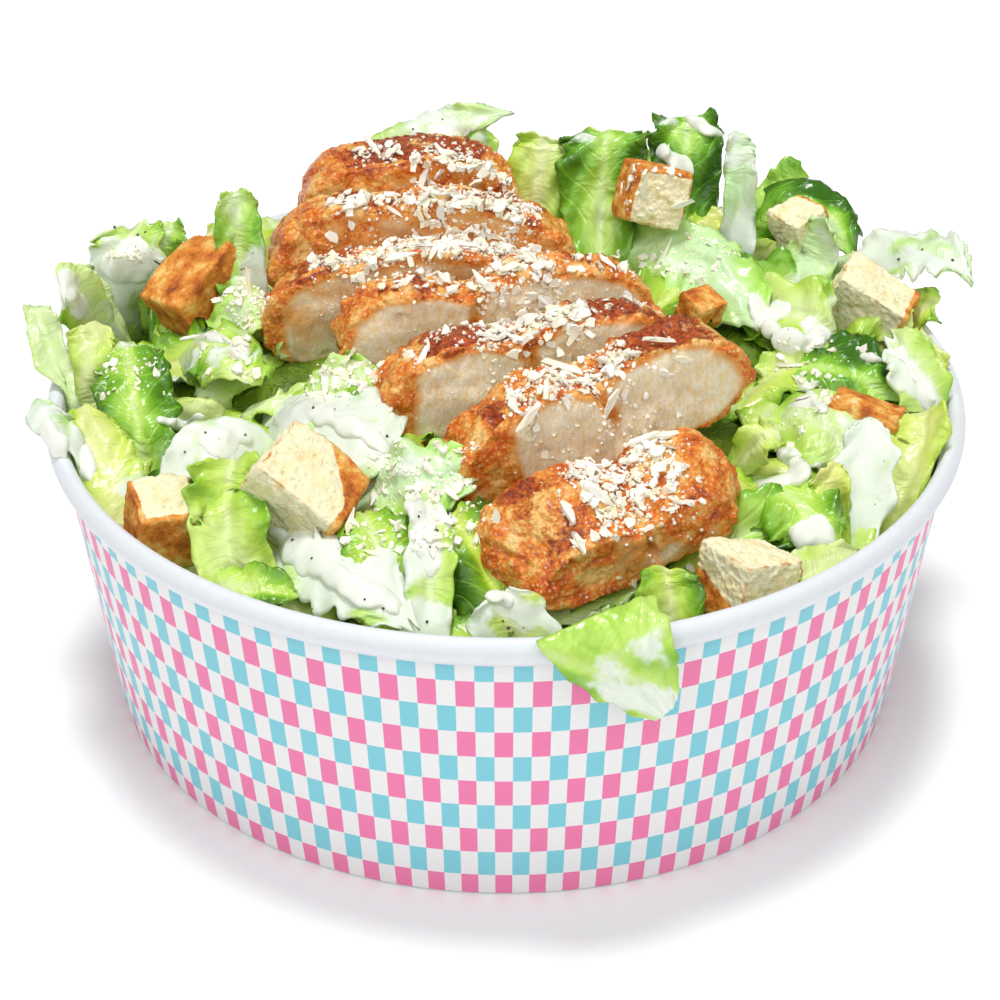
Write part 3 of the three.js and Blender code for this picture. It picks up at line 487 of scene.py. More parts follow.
def lettuce_leaf(settings, dressing):
    """Blades with pale ribs and a net of veins, partly under thin dressing."""
    f = Finish("lettuce_leaf", Coat_Roughness=0.1, Specular_IOR_Level=0.5)
    own = f.attribute("leaf_place", "Vector")
    along, across, grown = f.parts(own)
    depth, warmth, cover = f.parts(f.attribute("leaf_tone", "Vector"))
    vein = 1 - abs((along - abs(across) * VEIN_SLOPE) / VEIN_SPACING % 1.0 - 0.5).smooth(0.02, 0.11)
    rib = 1 - abs(across).smooth(0.3, 1.7)
    fleck = f.noise(f.place(1.2, along=own), detail=2) - 0.5
    crinkle = f.noise(f.place(2.2, (1, 0.4, 1), along=own), detail=2, roughness=0.6)
    # Painted light and shade: the green is paler on the crests of the crinkle and deeper in its hollows,
    # following its bump.
    shade = depth + fleck * 0.12 - rib * 0.26 - vein * grown * 0.1 - (crinkle - 0.5) * 0.16
    green = f.ramp(
        shade, (0.0, srgb(234, 244, 208)), (0.22, rgba(settings.pale)),
        (0.5, rgba(settings.bright)), (0.78, rgba(settings.middle)),
        (1.0, rgba(settings.deep)))
    yellowed = f.mix(1.0, green, srgb(255, 244, 168), "MULTIPLY")
    cooled = f.mix(1.0, green, srgb(226, 250, 226), "MULTIPLY")
    colour = f.mix(warmth, cooled, yellowed)
    covered = (cover + fleck * 0.25).smooth(0.34, 0.54)
    # Painted shade: under thin dressing the crinkle's hollows are greener and darker than its crests.
    creamy = f.mix(crinkle, srgb(230, 242, 226), rgba(dressing.colour))
    speck = 1 - f.cells(f.place(4.2)).smooth(0.04, 0.07)
    creamy = f.mix(speck * 0.7, creamy, srgb(105, 110, 90))
    f.set(Base_Color=f.mix(covered * 0.92, colour, creamy))
    f.set(Roughness=0.36 - crinkle * 0.1)
    f.set(Coat_Weight=crinkle.smooth(0.35, 0.65) * 0.4)
    relief = crinkle * 2.2 - rib * 0.8 - vein * grown * 0.35
    f.set(Normal=f.bump(relief * (1 - covered * 0.85) + covered * 0.9, 0.34, 0.8))
    return f.material


def thick_dressing(settings):
    """Glossy creamy dressing with a few specks of pepper."""
    f = Finish("thick_dressing", Coat_Weight=0.4, Coat_Roughness=0.08)
    cloud = f.noise(f.place(2.6), detail=2)
    body = f.mix(cloud, srgb(238, 242, 228), rgba(settings.colour))
    speck = 1 - f.cells(f.place(4.0)).smooth(0.04, 0.07)
    f.set(Base_Color=f.mix(speck * 0.75, body, srgb(98, 102, 80)))
    f.set(Roughness=0.22 + cloud * 0.16)
    f.set(Normal=f.bump(cloud, 0.12, 0.5))
    return f.material


def grilled_chicken(settings):
    """Pale fibrous meat inside a browned and partly charred crust."""
    f = Finish("grilled_chicken", Coat_Roughness=0.2)
    crust = f.attribute("crust")
    char = f.attribute("char")
    streak = f.noise(f.place(0.8, (1, 0.9, 0.42), turn=(0, 52, 12)), detail=4, roughness=0.7)
    blotch = f.attribute("blotch")
    meat = f.mix(streak.smooth(0.36, 0.62), rgba(settings.meat), srgb(255, 247, 224))
    meat = f.mix((blotch * 0.8 + crust * 1.2).smooth(0.4, 1.15), meat, srgb(240, 168, 84))
    grain = f.noise(f.place(1.1), detail=4, roughness=0.7)
    crumb = f.cells(f.place(0.95))
    browning = f.ramp(
        grain * 0.6 + blotch * 0.6 + crumb * 0.1 - 0.22, (0.3, srgb(255, 208, 126)),
        (0.41, rgba(settings.crust)), (0.52, srgb(228, 108, 20)), (0.7, srgb(176, 68, 10)))
    burnt = f.mix(grain.smooth(0.4, 0.62), srgb(196, 78, 14), srgb(112, 34, 6))
    charred = (char + (blotch - 0.5) * 1.3 + (grain - 0.5) * 0.9).smooth(0.34, 0.8)
    # Pale specks on the grains of the crust, partly seasoning and partly painted glints.
    glisten = 1 - crumb.smooth(0.2, 0.36)
    browning = f.mix(glisten * blotch.smooth(0.35, 0.6) * 0.5, browning, srgb(255, 226, 168))
    skin = f.mix(charred * 0.92, browning, burnt)
    edge = (crust + (grain - 0.5) * 1.1 + (blotch - 0.5) * 0.4).smooth(0.46, 0.82)
    f.set(Base_Color=f.mix(edge, meat, skin))
    f.set(Roughness=0.5 - edge * 0.16 + (grain - 0.5) * 0.4)
    f.set(Coat_Weight=edge * grain.smooth(0.45, 0.6) * 0.5)
    relief = (grain - crumb * 0.4) * (0.2 + edge * 0.8) + streak * (1 - edge) * 0.7
    f.set(Normal=f.bump(relief, 0.75, 0.9))
    return f.material


def toasted_bread(settings):
    """Open crumb inside a baked crust."""
    f = Finish("toasted_bread")
    toast = f.attribute("toast")
    pore = f.attribute("pore")
    grain = f.noise(f.place(0.8), detail=4, roughness=0.65)
    cloud = f.attribute("cloud")
    crumb = f.mix(cloud.smooth(0.42, 0.8), rgba(settings.crumb), srgb(253, 238, 184))
    hole = 1 - f.cells(f.place(1.5)).smooth(0.12, 0.42)
    # Painted shade: the crumb is darker in the pores and pits that the relief sinks.
    deep = (pore + hole * 0.4 + (grain - 0.5) * 0.6).smooth(0.3, 1.0)
    crumb = f.mix(deep * 0.4, crumb, srgb(242, 208, 142))
    baked = f.ramp(
        grain * 0.5 + cloud * 0.6 - 0.06, (0.32, srgb(252, 206, 120)), (0.46, rgba(settings.crust)),
        (0.6, srgb(206, 112, 30)), (0.74, srgb(140, 64, 18)))
    edge = (toast + (cloud - 0.5) * 0.6 + (grain - 0.5) * 0.3).smooth(0.4, 0.66)
    f.set(Base_Color=f.mix(edge, crumb, baked))
    f.set(Roughness=0.75 - edge * 0.15)
    f.set(Normal=f.bump(grain - hole * (1 - edge) * 0.4, 0.6, 0.75))
    return f.material


def grated_parmesan(settings):
    """Dry, crumbly hard cheese."""
    f = Finish("grated_parmesan", Roughness=0.5)
    grain = f.noise(f.place(0.6), detail=3, roughness=0.6)
    each = f.noise(f.place(3.5), detail=1)
    f.set(Base_Color=f.mix(each.smooth(0.35, 0.7), rgba(settings.colour), srgb(252, 246, 218)))
    f.set(Roughness=0.42 + grain * 0.25)
    f.set(Normal=f.bump(grain, 0.15, 0.7))
    return f.material


def cracked_pepper():
    """Dark flakes of pepper and herb."""
    f = Finish("cracked_pepper", Roughness=0.6)
    grain = f.noise(f.place(0.8), detail=2)
    f.set(Base_Color=f.mix(grain.smooth(0.4, 0.6), srgb(58, 50, 34), srgb(110, 104, 70)))
    f.set(Normal=f.bump(grain, 0.08))
    return f.material


def deep_greens():
    """The darker leaves that show in the gaps of the heap; their dark green is partly painted shade."""
    f = Finish("deep_greens", Roughness=0.5)
    cloud = f.noise(f.place(9), detail=3)
    line = 1 - abs(f.noise(f.place(3.5), detail=3) - 0.5).smooth(0.0, 0.05)
    shade = cloud - line * 0.1
    green = f.ramp(shade, (0.3, srgb(150, 180, 50)), (0.5, srgb(104, 138, 22)), (0.75, srgb(60, 92, 8)))
    f.set(Base_Color=green)
    f.set(Normal=f.bump(cloud + line * 0.3, 1.0))
    return f.material


def studio_floor(settings):
    """A plain pale floor."""
    f = Finish("studio_floor", Roughness=0.9, Specular_IOR_Level=0.1, Emission_Strength=0.03)
    soft = f.noise(f.place(60), detail=0)
    f.set(Base_Color=f.mix(soft, rgba(settings.floor), srgb(255, 255, 255)))
    f.set(Emission_Color=f.mix(soft, srgb(250, 250, 250), srgb(255, 255, 255)))
    return f.material


# Forms


def make_piece(bm, name, finish, replaces=(), smooth=True):
    """Turns a bmesh in millimetres into a piece of the salad."""
    bmesh.ops.scale(bm, vec=(MM, MM, MM), verts=bm.verts)
    mesh = bpy.data.meshes.new(name)
    bm.to_mesh(mesh)
    bm.free()
    if smooth:
        mesh.shade_smooth()
    mesh.materials.append(finish)
    piece = bpy.data.objects.new(name, mesh)
    bpy.context.scene.collection.objects.link(piece)
    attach(piece, "root")
    if replaces:
        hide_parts(*replaces)
    return piece


def grid_box(*cuts):
    """A box from -1 to 1 whose sides are split into a grid."""
    bm = bmesh.new()
    bmesh.ops.create_cube(bm, size=2)
    for axis, count in enumerate(cuts):
        edges = [e for e in bm.edges if abs(e.verts[0].co[axis] - e.verts[1].co[axis]) > 1e-6]
        bmesh.ops.subdivide_edges(bm, edges=edges, cuts=count, use_grid_fill=True)
    return bm


def spun(profile, steps):
    """A profile of (radius, height) points turned round +Z."""
    bm = bmesh.new()
    verts = [bm.verts.new((radius, 0, height)) for radius, height in profile]
    edges = [bm.edges.new(pair) for pair in zip(verts, verts[1:])]
    bmesh.ops.spin(bm, geom=verts + edges, axis=(0, 0, 1), cent=(0, 0, 0), angle=2 * pi,
                   steps=steps, use_merge=True)
    bmesh.ops.remove_doubles(bm, verts=bm.verts, dist=1e-4)
    bmesh.ops.recalc_face_normals(bm, faces=bm.faces)
    return bm


def outer_radius(height):
    return BASE_RADIUS + (PRINT_TOP_RADIUS - BASE_RADIUS) * height / PRINT_TOP_HEIGHT


def heap_height(x, y):
    """Height of the bare heap under the leaves."""
    share = min(1.0, hypot(x, y) / CORE_REACH)
    return CORE_EDGE + CORE_CROWN * (1 - share ** 2) ** 0.7 + CORE_TILT * y


def bowl_profile():
    profile = [(0, 0), (BASE_RADIUS - BASE_CORNER, 0)]
    for step in range(1, CORNER_STEPS + 1):
        angle = radians(90 * step / CORNER_STEPS)
        profile.append((BASE_RADIUS - BASE_CORNER * (1 - sin(angle)), BASE_CORNER * (1 - cos(angle))))
    roll_under = BOWL_HEIGHT - ROLL_HEIGHT
    for step in range(1, WALL_STEPS + 1):
        height = between(BASE_CORNER, roll_under, step / WALL_STEPS)
        profile.append((outer_radius(height), height))
    middle = (RIM_RADIUS - ROLL_WIDTH / 2, BOWL_HEIGHT - ROLL_HEIGHT / 2)
    for step in range(1, ROLL_STEPS):
        angle = radians(ROLL_START + ROLL_SWEEP * step / ROLL_STEPS)
        profile.append((middle[0] + ROLL_WIDTH / 2 * cos(angle), middle[1] + ROLL_HEIGHT / 2 * sin(angle)))
    floor_edge = BASE_CORNER + BASE_THICKNESS
    for step in range(WALL_STEPS + 1):
        height = between(roll_under, floor_edge, step / WALL_STEPS)
        profile.append((outer_radius(height) - WALL, height))
    profile.append((BASE_RADIUS - WALL - BASE_CORNER, BASE_THICKNESS))
    profile.append((0, BASE_THICKNESS))
    return profile


class LeafForm:
    """The middle surface of a leaf."""

    def __init__(self, spec, seed):
        root, middle, tip = (Vector(spec[end]) for end in ("root", "middle", "tip"))
        root.z = min(root.z, heap_height(root.x, root.y) - ROOT_DEPTH)
        self.root = root
        self.bend = middle * 2 - root / 2 - tip / 2
        self.tip = tip
        self.width, self.ends, self.tone = spec["width"], spec["ends"], spec["tone"]
        self.cup, self.frill, self.roll = spec["cup"], spec["frill"], radians(spec["roll"])
        self.bare = 1 - min(1, 1.3 * self.tone[2])
        self.seed = seed
        draw = draws(seed)
        self.phase = draw()
        self.waves = 1.5 + draw()
        self.slant = (0.3 * draw() - 0.15) * smooth_step(self.ends[1], 0.15, 0.5)
        self.fold = 0.4 + 1.4 * draw()
        steps = [self.rib(i / 12) for i in range(13)]
        self.length = sum((b - a).length for a, b in zip(steps, steps[1:]))

    def rib(self, u):
        return self.root * (1 - u) ** 2 + self.bend * 2 * u * (1 - u) + self.tip * u * u

    def share_of_width(self, u):
        at_root, at_tip = self.ends
        if u < WIDEST:
            return at_root + (1 - at_root) * sin(u / WIDEST * pi / 2)
        return at_tip + (1 - at_tip) * max(0, cos((u - WIDEST) / (1 - WIDEST) * pi / 2)) ** 0.8

    def half_width(self, u):
        return self.width / 2 * self.share_of_width(u)

    def at(self, u, v):
        """A point of the surface, with the surface's normal and the direction along the rib."""
        tangent = ((self.bend - self.root) * 2 * (1 - u) + (self.tip - self.bend) * 2 * u).normalized()
        normal = (TO_VIEWER - tangent * TO_VIEWER.dot(tangent)).normalized()
        normal = Quaternion(tangent, self.roll) @ normal
        across = normal.cross(tangent)
        half = self.half_width(u)
        wave = sin(2 * pi * (self.waves * u + self.phase + 0.2 * v))
        lift = self.cup * half * abs(v) ** 1.4 + self.frill * abs(v) ** 1.5 * wave
        return self.rib(u) + across * v * half + normal * lift, normal, tangent

    def crinkled(self, u, v):
        """A point of the surface with its fine frills, puckers and uneven edge."""
        ragged = noise(Vector((u * self.length / 4.5, 4 * self.seed + (v > 0), 0)))
        v_cut = v * (1 + 0.3 * ragged * abs(v) ** 3)
        end = max(0.0, u - 0.6) / 0.4
        u_cut = u * (1 - end * (0.1 * v * v + 0.08 * noise(Vector((v * 3, self.seed, 5)))))
        u_cut -= (abs(self.slant) + self.slant * v) * end
        point, normal, _ = self.at(u_cut, v_cut)
        frill = 0.7 * self.frill * abs(v) ** 3 * sin(2 * pi * (0.13 * self.length * u + 1.3 * v))
        frill += 0.35 * self.frill * abs(v) ** 6 * sin(2 * pi * (0.37 * self.length * u + v + self.phase))
        along, across = u * self.length, v * self.half_width(u)
        vein = (along - VEIN_SLOPE * abs(across)) / VEIN_SPACING + self.seed
        pucker = 0.3 * sin(pi * vein) ** 2 - 0.1
        pucker *= min(1.0, abs(across) / 3)
        rough = 1.8 * noise(Vector((along / 15, across / 6, self.seed * 3)))
        crease = abs(noise(Vector((along / 9, across / 4, self.seed * 5))))
        rough += 0.7 * (1 - min(1, 3.0 * crease)) ** 2 + 0.25 * noise(Vector((along / 3.5, across / 1.6, 0)))
        groove = -0.5 * exp(-(across / 1.1) ** 2)
        folded = (along + self.fold * across) / FOLD_SPACING + self.seed * 0.37
        rough += FOLD_DEPTH * (1 - 4 * abs(folded % 1 - 0.5)) * (0.3 + 0.7 * abs(v))
        lift = frill + rough * (0.25 + 0.75 * self.bare) + (pucker + groove) * self.bare
        return kept_inside(point + normal * lift, u)


def kept_inside(point, u):
    """Keeps the root half of a leaf inside the bowl's wall, below the rim."""
    reach = hypot(point.x, point.y)
    limit = outer_radius(min(point.z, BOWL_HEIGHT)) - WALL - LEAF_TO_WALL
    held = (1 - smooth_step(u, 0.5, 0.75)) * (1 - smooth_step(point.z, BOWL_HEIGHT - 1, BOWL_HEIGHT + 5))
    drawn_in = 1 - max(0.0, reach - limit) * held / max(reach, limit)
    return Vector((point.x * drawn_in, point.y * drawn_in, point.z))


def add_leaf(bm, form, step, solids, low=False):
    """Adds a leaf's blade as a grid that follows its form, and that goes inside where it meets a solid."""
    places = bm.verts.layers.float_vector["leaf_place"]
    tones = bm.verts.layers.float_vector["leaf_tone"]
    long, wide = max(8, round(form.length / step)), max(6, round(form.width / step))
    grid = bmesh.ops.create_grid(bm, x_segments=long, y_segments=wide, size=1)
    for vert in grid["verts"]:
        u, v = (vert.co.x + 1) / 2, vert.co.y
        vert.co = solids.settled(form.at(u, v)[0], form.crinkled(u, v), low)
        along, across = u * form.length, v * form.half_width(u)
        set_tone(vert, places, tones, along, across, abs(v), form.seed, form.tone)


def set_tone(vert, places, tones, along, across, edge, seed, tone):
    """Gives a leaf's point its place on the leaf and its patchy depth of green, yellowness and dressing."""
    own = Vector((along, across, 41 * seed))
    wander = noise(own / 7)
    depth = tone[0] + 0.42 * noise(own / 13) + 0.22 * noise(own / 6) + 0.24 * (edge - 0.5)
    depth -= 0.2 * (1 - smooth_step(abs(across), 0.5, 6.0))
    smear = 0.5 * noise(Vector((along / 11, across / 7, 9 * seed))) + 0.25 * noise(own / 4.2)
    vert[places] = (along + 4 * wander, across, smooth_step(tone[0], 0.4, 0.7))
    vert[tones] = (depth, tone[1], tone[2] + smear if tone[2] > 0.02 else 0.0)


def leaf_mesh():
    bm = bmesh.new()
    bm.verts.layers.float_vector.new("leaf_place")
    bm.verts.layers.float_vector.new("leaf_tone")
    return bm


def thicken(piece, thickness):
    """Gives a blade its thickness."""
    solid = piece.modifiers.new("thickness", "SOLIDIFY")
    solid.thickness = thickness
    solid.offset = 0
    solid.use_even_offset = False


def under_leaves():
    """Loose leaves that lie on the bare heap under the named ones."""
    draw = draws(411)
    leaves = []
    for ring, count in UNDER_RINGS:
        for i in range(count):
            turn = 2 * pi * (i + 0.5 * draw()) / count
            x, y = ring * cos(turn), ring * sin(turn)
            way = 2 * pi * draw()
            reach = 9 + 8 * draw()
            dx, dy = cos(way) * reach, sin(way) * reach
            room = UNDER_REACH / max(UNDER_REACH, hypot(x + dx, y + dy), hypot(x - dx, y - dy))
            ends = [(x - dx) * room, (y - dy) * room], [(x + dx) * room, (y + dy) * room]
            root = (*ends[0], heap_height(*ends[0]) - 3)
            middle = (x * room, y * room, heap_height(x * room, y * room) + 1 + 2 * draw())
            tip = (*ends[1], heap_height(*ends[1]) - 0.5 + 2 * draw())
            leaves.append(leaf(
                root=root, middle=middle, tip=tip, width=5 + 10 * draw(), ends=(0.7, 0.55), frill=1.3,
                cup=1.3 * draw() - 0.8, roll=70 * draw() - 35,
                tone=(0.25 + 0.6 * draw(), 0.2 + 0.6 * draw(), 0.35 * draw() if draw() > 0.6 else 0.0)))
    return leaves


def drape_points():
    """The drape of the rim leaf as even steps of (radius, height)."""
    points = [Vector(p) for p in RIM_LEAF["drape"]]
    fine = []
    for i in range(len(points) - 1):
        p0, p1 = points[max(0, i - 1)], points[i]
        p2, p3 = points[i + 1], points[min(len(points) - 1, i + 2)]
        v0, v1 = (p2 - p0) / 2, (p3 - p1) / 2
        for step in range(DRAPE_STEPS):
            t = step / DRAPE_STEPS
            cubed = (p1 * 2 - p2 * 2 + v0 + v1) * t ** 3
            squared = (p1 * -3 + p2 * 3 - v0 * 2 - v1) * t ** 2
            fine.append(cubed + squared + v0 * t + p1)
    fine.append(points[-1])
    return fine


class Solids:
    """The chicken and the bread, which the leaves lie against."""

    def __init__(self, context):
        depsgraph = context.evaluated_depsgraph_get()
        names = [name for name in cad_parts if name.startswith(("chicken", "crouton"))]
        self.trees = [BVHTree.FromObject(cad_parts[name], depsgraph) for name in names]

    def settled(self, bare, crinkled, low):
        """The place of a leaf's point, from its bare and its crinkled surface."""
        if low and self.over(crinkled):
            return Vector((*crinkled.xy, min(crinkled.z, heap_height(crinkled.x, crinkled.y))))
        for tree in self.trees:
            surface, normal, _, distance = tree.find_nearest(bare * MM, SOLID_NEAR)
            if surface and (bare * MM - surface).dot(normal) < SOLID_TOUCH:
                return (surface - normal * max(distance, SOLID_DEPTH)) / MM
        return crinkled

    def over(self, point):
        above = Vector((point.x, point.y, 300)) * MM
        return any(tree.ray_cast(above, Vector((0, 0, -1)))[0] for tree in self.trees)


class RimLeafForm:
    """The leaf that hangs out over the rim."""

    def __init__(self):
        self.points = drape_points()
        self.ways = [0.0]
        for a, b in zip(self.points, self.points[1:]):
            self.ways.append(self.ways[-1] + (b - a).length)

    def drape_at(self, share):
        way = min(max(share, 0), 1) * self.ways[-1]
        i = next((k for k in range(1, len(self.ways)) if self.ways[k] >= way), len(self.ways) - 1)
        a, b = self.points[i - 1], self.points[i]
        part = (way - self.ways[i - 1]) / (self.ways[i] - self.ways[i - 1])
        return a.lerp(b, part), (b - a).normalized()

    def at(self, u, v, lift=0.0):
        from_left = (v + 1) / 2
        inner = [between(a, b, from_left) for a, b in zip(RIM_LEAF["inner_left"], RIM_LEAF["inner_right"])]
        outer = [between(a, b, from_left) for a, b in zip(RIM_LEAF["outer_left"], RIM_LEAF["outer_right"])]
        turn = between(inner[0], outer[0], u) - RIM_LEAF["bulge"] * (1 - from_left) * sin(pi * u)
        share = between(inner[1], outer[1], u)
        (radius, height), (outwards, upwards) = self.drape_at(share)
        lift += RIM_LEAF["ripple"] * sin(5 * u + 4 * from_left)
        angle = radians(turn)
        out = radius - upwards * lift
        return Vector((out * sin(angle), -out * cos(angle), height + outwards * lift))


def push_out(bm, relief):
    """Moves each point of a form along its normal by what relief says."""
    bm.normal_update()
    moves = [vert.normal * relief(vert) for vert in bm.verts]
    for vert, move in zip(bm.verts, moves):
        vert.co += move


def slice_top(x, cleft):
    dome = max(0.0, 1 - abs(x) ** 3.4) ** 0.55
    return dome if cleft is None else dome * (1 - 0.28 * exp(-(((x - cleft) * 4.5) ** 2)))


def slice_outline(angle, width, height, cleft):
    edge = SLICE_BULGE * height
    x = copysign(abs(cos(angle)) ** 0.85, cos(angle))
    if sin(angle) >= 0:
        rise = (height - edge) * slice_top(x, cleft)
    else:
        rise = -edge * max(0.0, 1 - x ** 4) ** 0.5
    return x * width / 2, edge + rise


class SliceForm:
    """One slice of the breast. Its local x runs across, y upwards and z out of the front face."""

    def __init__(self, spec, seed):
        self.spec = spec
        self.width, self.height, self.thickness = spec["size"]
        draw = draws(seed)
        self.a, self.b = draw() * 6, draw() * 6
        yaw, lean, roll = (radians(angle) for angle in spec["turn"])
        self.turn = (Matrix.Rotation(yaw, 3, "Z") @ Matrix.Rotation(pi / 2 - lean, 3, "X")
                     @ Matrix.Rotation(roll, 3, "Z"))

    def placed(self, x, y, z):
        """The place of a local point, with the slice's swellings."""
        swell = 1 + 0.03 * sin(0.21 * x + self.a) + 0.025 * sin(0.35 * z + self.b)
        taper = 1.0
        if self.spec.get("end_piece"):
            taper = 1 - 0.3 * smooth_step(z, -0.7 * self.thickness, 0)
        bow = 0.5 * sin(0.13 * x + 0.2 * y + self.b)
        local = Vector((x * (0.4 + 0.6 * taper), y * swell * taper, z + bow))
        return self.turn @ local + Vector(self.spec["place"])

    def from_cube(self, corner, rounding=1.5):
        """Maps a point of the unit box to a rounded slice: local x, y, z and the way in from the side."""
        middle = SLICE_BULGE * self.height
        ring = max(abs(corner.x), abs(corner.y), 1e-6)
        out_x, out_y = slice_outline(atan2(corner.y, corner.x), self.width, self.height, self.spec["cleft"])
        half = max(1.0, hypot(out_x, out_y - middle))
        inward = (1 - ring) * half
        depth = (1 - abs(corner.z)) * self.thickness / 2
        core = Vector((max(inward, rounding), max(depth, rounding)))
        away = Vector((inward, depth)) - core
        if away.length > 1e-6:
            core += away.normalized() * rounding
        keep = 1 - core.x / half
        z = copysign(self.thickness / 2 - core.y, corner.z) - self.thickness / 2
        return out_x * keep, middle + (out_y - middle) * keep, z, inward


def chicken_slice(spec, seed):
    """A slice with a granular crust round a fibrous cut face."""
    form = SliceForm(spec, seed)
    bm = grid_box(*SLICE_GRID)
    crusts = bm.verts.layers.float.new("crust")
    chars = bm.verts.layers.float.new("char")
    blotches = bm.verts.layers.float.new("blotch")
    for vert in bm.verts:
        corner = vert.co.copy()
        x, y, z, inward = form.from_cube(corner)
        on_end = abs(corner.z) > 0.999
        share = x / form.width * 2
        rise = y / form.height
        crust = 1 - smooth_step(inward, 0.2, 5.2) if on_end else 1.0
        if on_end:
            from_left = x + form.width / 2 - 1.5 * sin(3 * rise + seed)
            crust = max(crust, 1 - smooth_step(from_left, spec["wrap"] - 3, spec["wrap"] + 1.5))
        if spec["cleft"] is not None and corner.z > 0:
            bent = share - spec["cleft"] - 0.05 * sin(5 * rise + seed)
            crease = exp(-((bent / 0.035) ** 2)) * smooth_step(rise, 0.08, 0.4)
            near = smooth_step(z, -4, 0)
            z -= (2.6 * crease + 1.6 * smooth_step(bent, -0.03, 0.1)) * near
            crust = max(crust, 0.95 * exp(-((bent / 0.06) ** 2)) * smooth_step(rise, 0.2, 0.6))
        vert.co = form.placed(x, y, z)
        patch = noise(vert.co / 6)
        crust = max(crust, spec["seared"] * (0.8 + 0.7 * patch))
        up = smooth_step(rise, 0.55, 0.85)
        char = sum(s * exp(-(((share - c) / w) ** 2)) for c, w, s in spec["chars"])
        behind = smooth_step(-z, 0.2, 2.5) if not on_end else 0.7 * (1 - smooth_step(inward, 0.0, 3.0))
        vert[crusts] = crust
        vert[chars] = up * char * behind
        vert[blotches] = 0.5 + 0.36 * noise(vert.co / 5) + 0.22 * noise(vert.co / 2.3)

    def relief(vert):
        p = vert.co
        swell = 0.8 * noise(p / 7 + Vector((seed, 0, 0)))
        grain = 0.3 * noise(p / 1.1) + 0.5 * noise(p / 2.7)
        fold = 0.75 * smooth_step(1 - abs(noise(p / 5.5 + Vector((0, seed, 0)))) * 5, 0, 1)
        fibre = 0.16 * noise(Vector((p.x / 0.9 + p.z / 4, p.y / 2, p.z / 2.6))) + 0.4 * noise(p / 3.5)
        torn = noise(Vector((p.x / 2.6, p.y / 3, p.z / 5)) + Vector((0, 0, seed)))
        tear = -0.7 * smooth_step(torn, 0.4, 0.62)
        return swell + between(fibre + tear, grain - fold, min(1, vert[crusts]))

    push_out(bm, relief)
    return bm


def crouton(spec, seed):
    """A cube of bread with open crumb and baked sides."""
    size = Vector(spec["size"])
    draw = draws(seed + 80)
    a, b = draw() * 6, draw() * 6
    rx, ry, rz = (radians(angle) for angle in spec["turn"])
    turn = Matrix.Rotation(rx, 3, "X") @ Matrix.Rotation(ry, 3, "Y") @ Matrix.Rotation(rz, 3, "Z")
    bm = grid_box(*CROUTON_GRID)
    toasts = bm.verts.layers.float.new("toast")
    pores = bm.verts.layers.float.new("pore")
    clouds = bm.verts.layers.float.new("cloud")
    for vert in bm.verts:
        x, y, z = vert.co
        corner = (x ** 4 + y ** 4 + z ** 4) / 3
        share = 1 - 0.13 * corner + 0.035 * sin(2.2 * x + 1.7 * y + a) + 0.03 * sin(2.5 * z - x + b)
        toast = max(smooth_step(vert.co.dot(Vector(side)), 0.7, 0.95) for side in spec["crusts"])
        rim = sorted((abs(x), abs(y), abs(z)))[1]
        toast = max(toast, smooth_step(rim, 0.82, 1.0) * 0.55)
        vert[toasts] = toast * spec["toast"]
        local = Vector((x * size.x, y * size.y, z * size.z)) / 2 * share
        vert.co = turn @ local + Vector(spec["middle"])

    def relief(vert):
        p = vert.co + Vector((seed * 20, 0, 0))
        pore = 1 - smooth_step(voronoi(p / 2.1)[0][0], 0.12, 0.5)
        pit = 1 - smooth_step(voronoi(p / 1.1)[0][0], 0.1, 0.45)
        crumb = 1 - vert[toasts]
        # pore marks the sunken pits; the finish darkens the crumb there as painted shade.
        vert[pores] = pore * 0.8 + pit * 0.3
        vert[clouds] = 0.5 + 0.4 * noise(p / 3.6) + 0.25 * noise(p / 1.7)
        depth = (0.5 * pore + 0.3 * pit) * (0.3 + 0.7 * crumb)
        lump = 0.5 * noise(p / 3.2) + 0.22 * noise(p / 0.9) * (0.5 + crumb)
        return lump - depth + 0.2

    push_out(bm, relief)
    return bm


def add_dressing(bm, form, spot, seed):
    """Adds a thick spot of dressing that follows its leaf."""
    u0, v0, length, width = spot
    ball = bmesh.ops.create_uvsphere(bm, u_segments=30, v_segments=14, radius=1)
    for vert in ball["verts"]:
        x, y, z = vert.co
        turn = atan2(y, x)
        wobble = 1 + 0.28 * noise(Vector((1.5 * cos(turn), 1.5 * sin(turn), seed * 7)))
        wobble += 0.12 * noise(Vector((4 * cos(turn), 4 * sin(turn), seed * 3)))
        u = u0 + x * wobble * length / 2 / form.length
        v = v0 + y * wobble * width / 2 / max(2, form.half_width(min(max(u0, 0), 1)))
        over = max(0, abs(v) - 1) + max(0, u - 1) * 2
        u, v = min(max(u, 0), 1), min(max(v, -1.1), 1.1)
        point, normal, _ = form.at(u, v)
        flat = copysign(abs(z) ** 0.8, z)
        lump = 0.5 * noise(point / 4)
        vert.co = point + normal * (flat * (1.3 + lump) - 0.1 - over * 1.5)


def add_drip(bm, scene, depsgraph, width, path, seed):
    """Lays a run of thick dressing on whatever is seen at the places of its path."""
    draw = draws(seed + 900)
    points = [Vector((*place, DRIP_LEVEL)) for place in path]
    for start, end in zip(points, points[1:]):
        steps = max(2, round((end - start).length / DRIP_STEP))
        for step in range(steps):
            place = start.lerp(end, step / steps)
            found = resting(scene, depsgraph, VIEWPOINT, place - VIEWPOINT)
            if found:
                point, normal = found
                size = width / 2 * (0.95 + 0.9 * noise(place / 2.6 + Vector((0, 0, seed))))
                turn = normal.to_track_quat("Z", "X").to_matrix().to_4x4()
                flat = Matrix.Diagonal((size, size * (0.8 + 0.5 * draw()), 0.5 + 0.1 * width, 1))
                bmesh.ops.create_icosphere(
                    bm, subdivisions=2, radius=1, matrix=Matrix.Translation(point) @ turn @ flat)


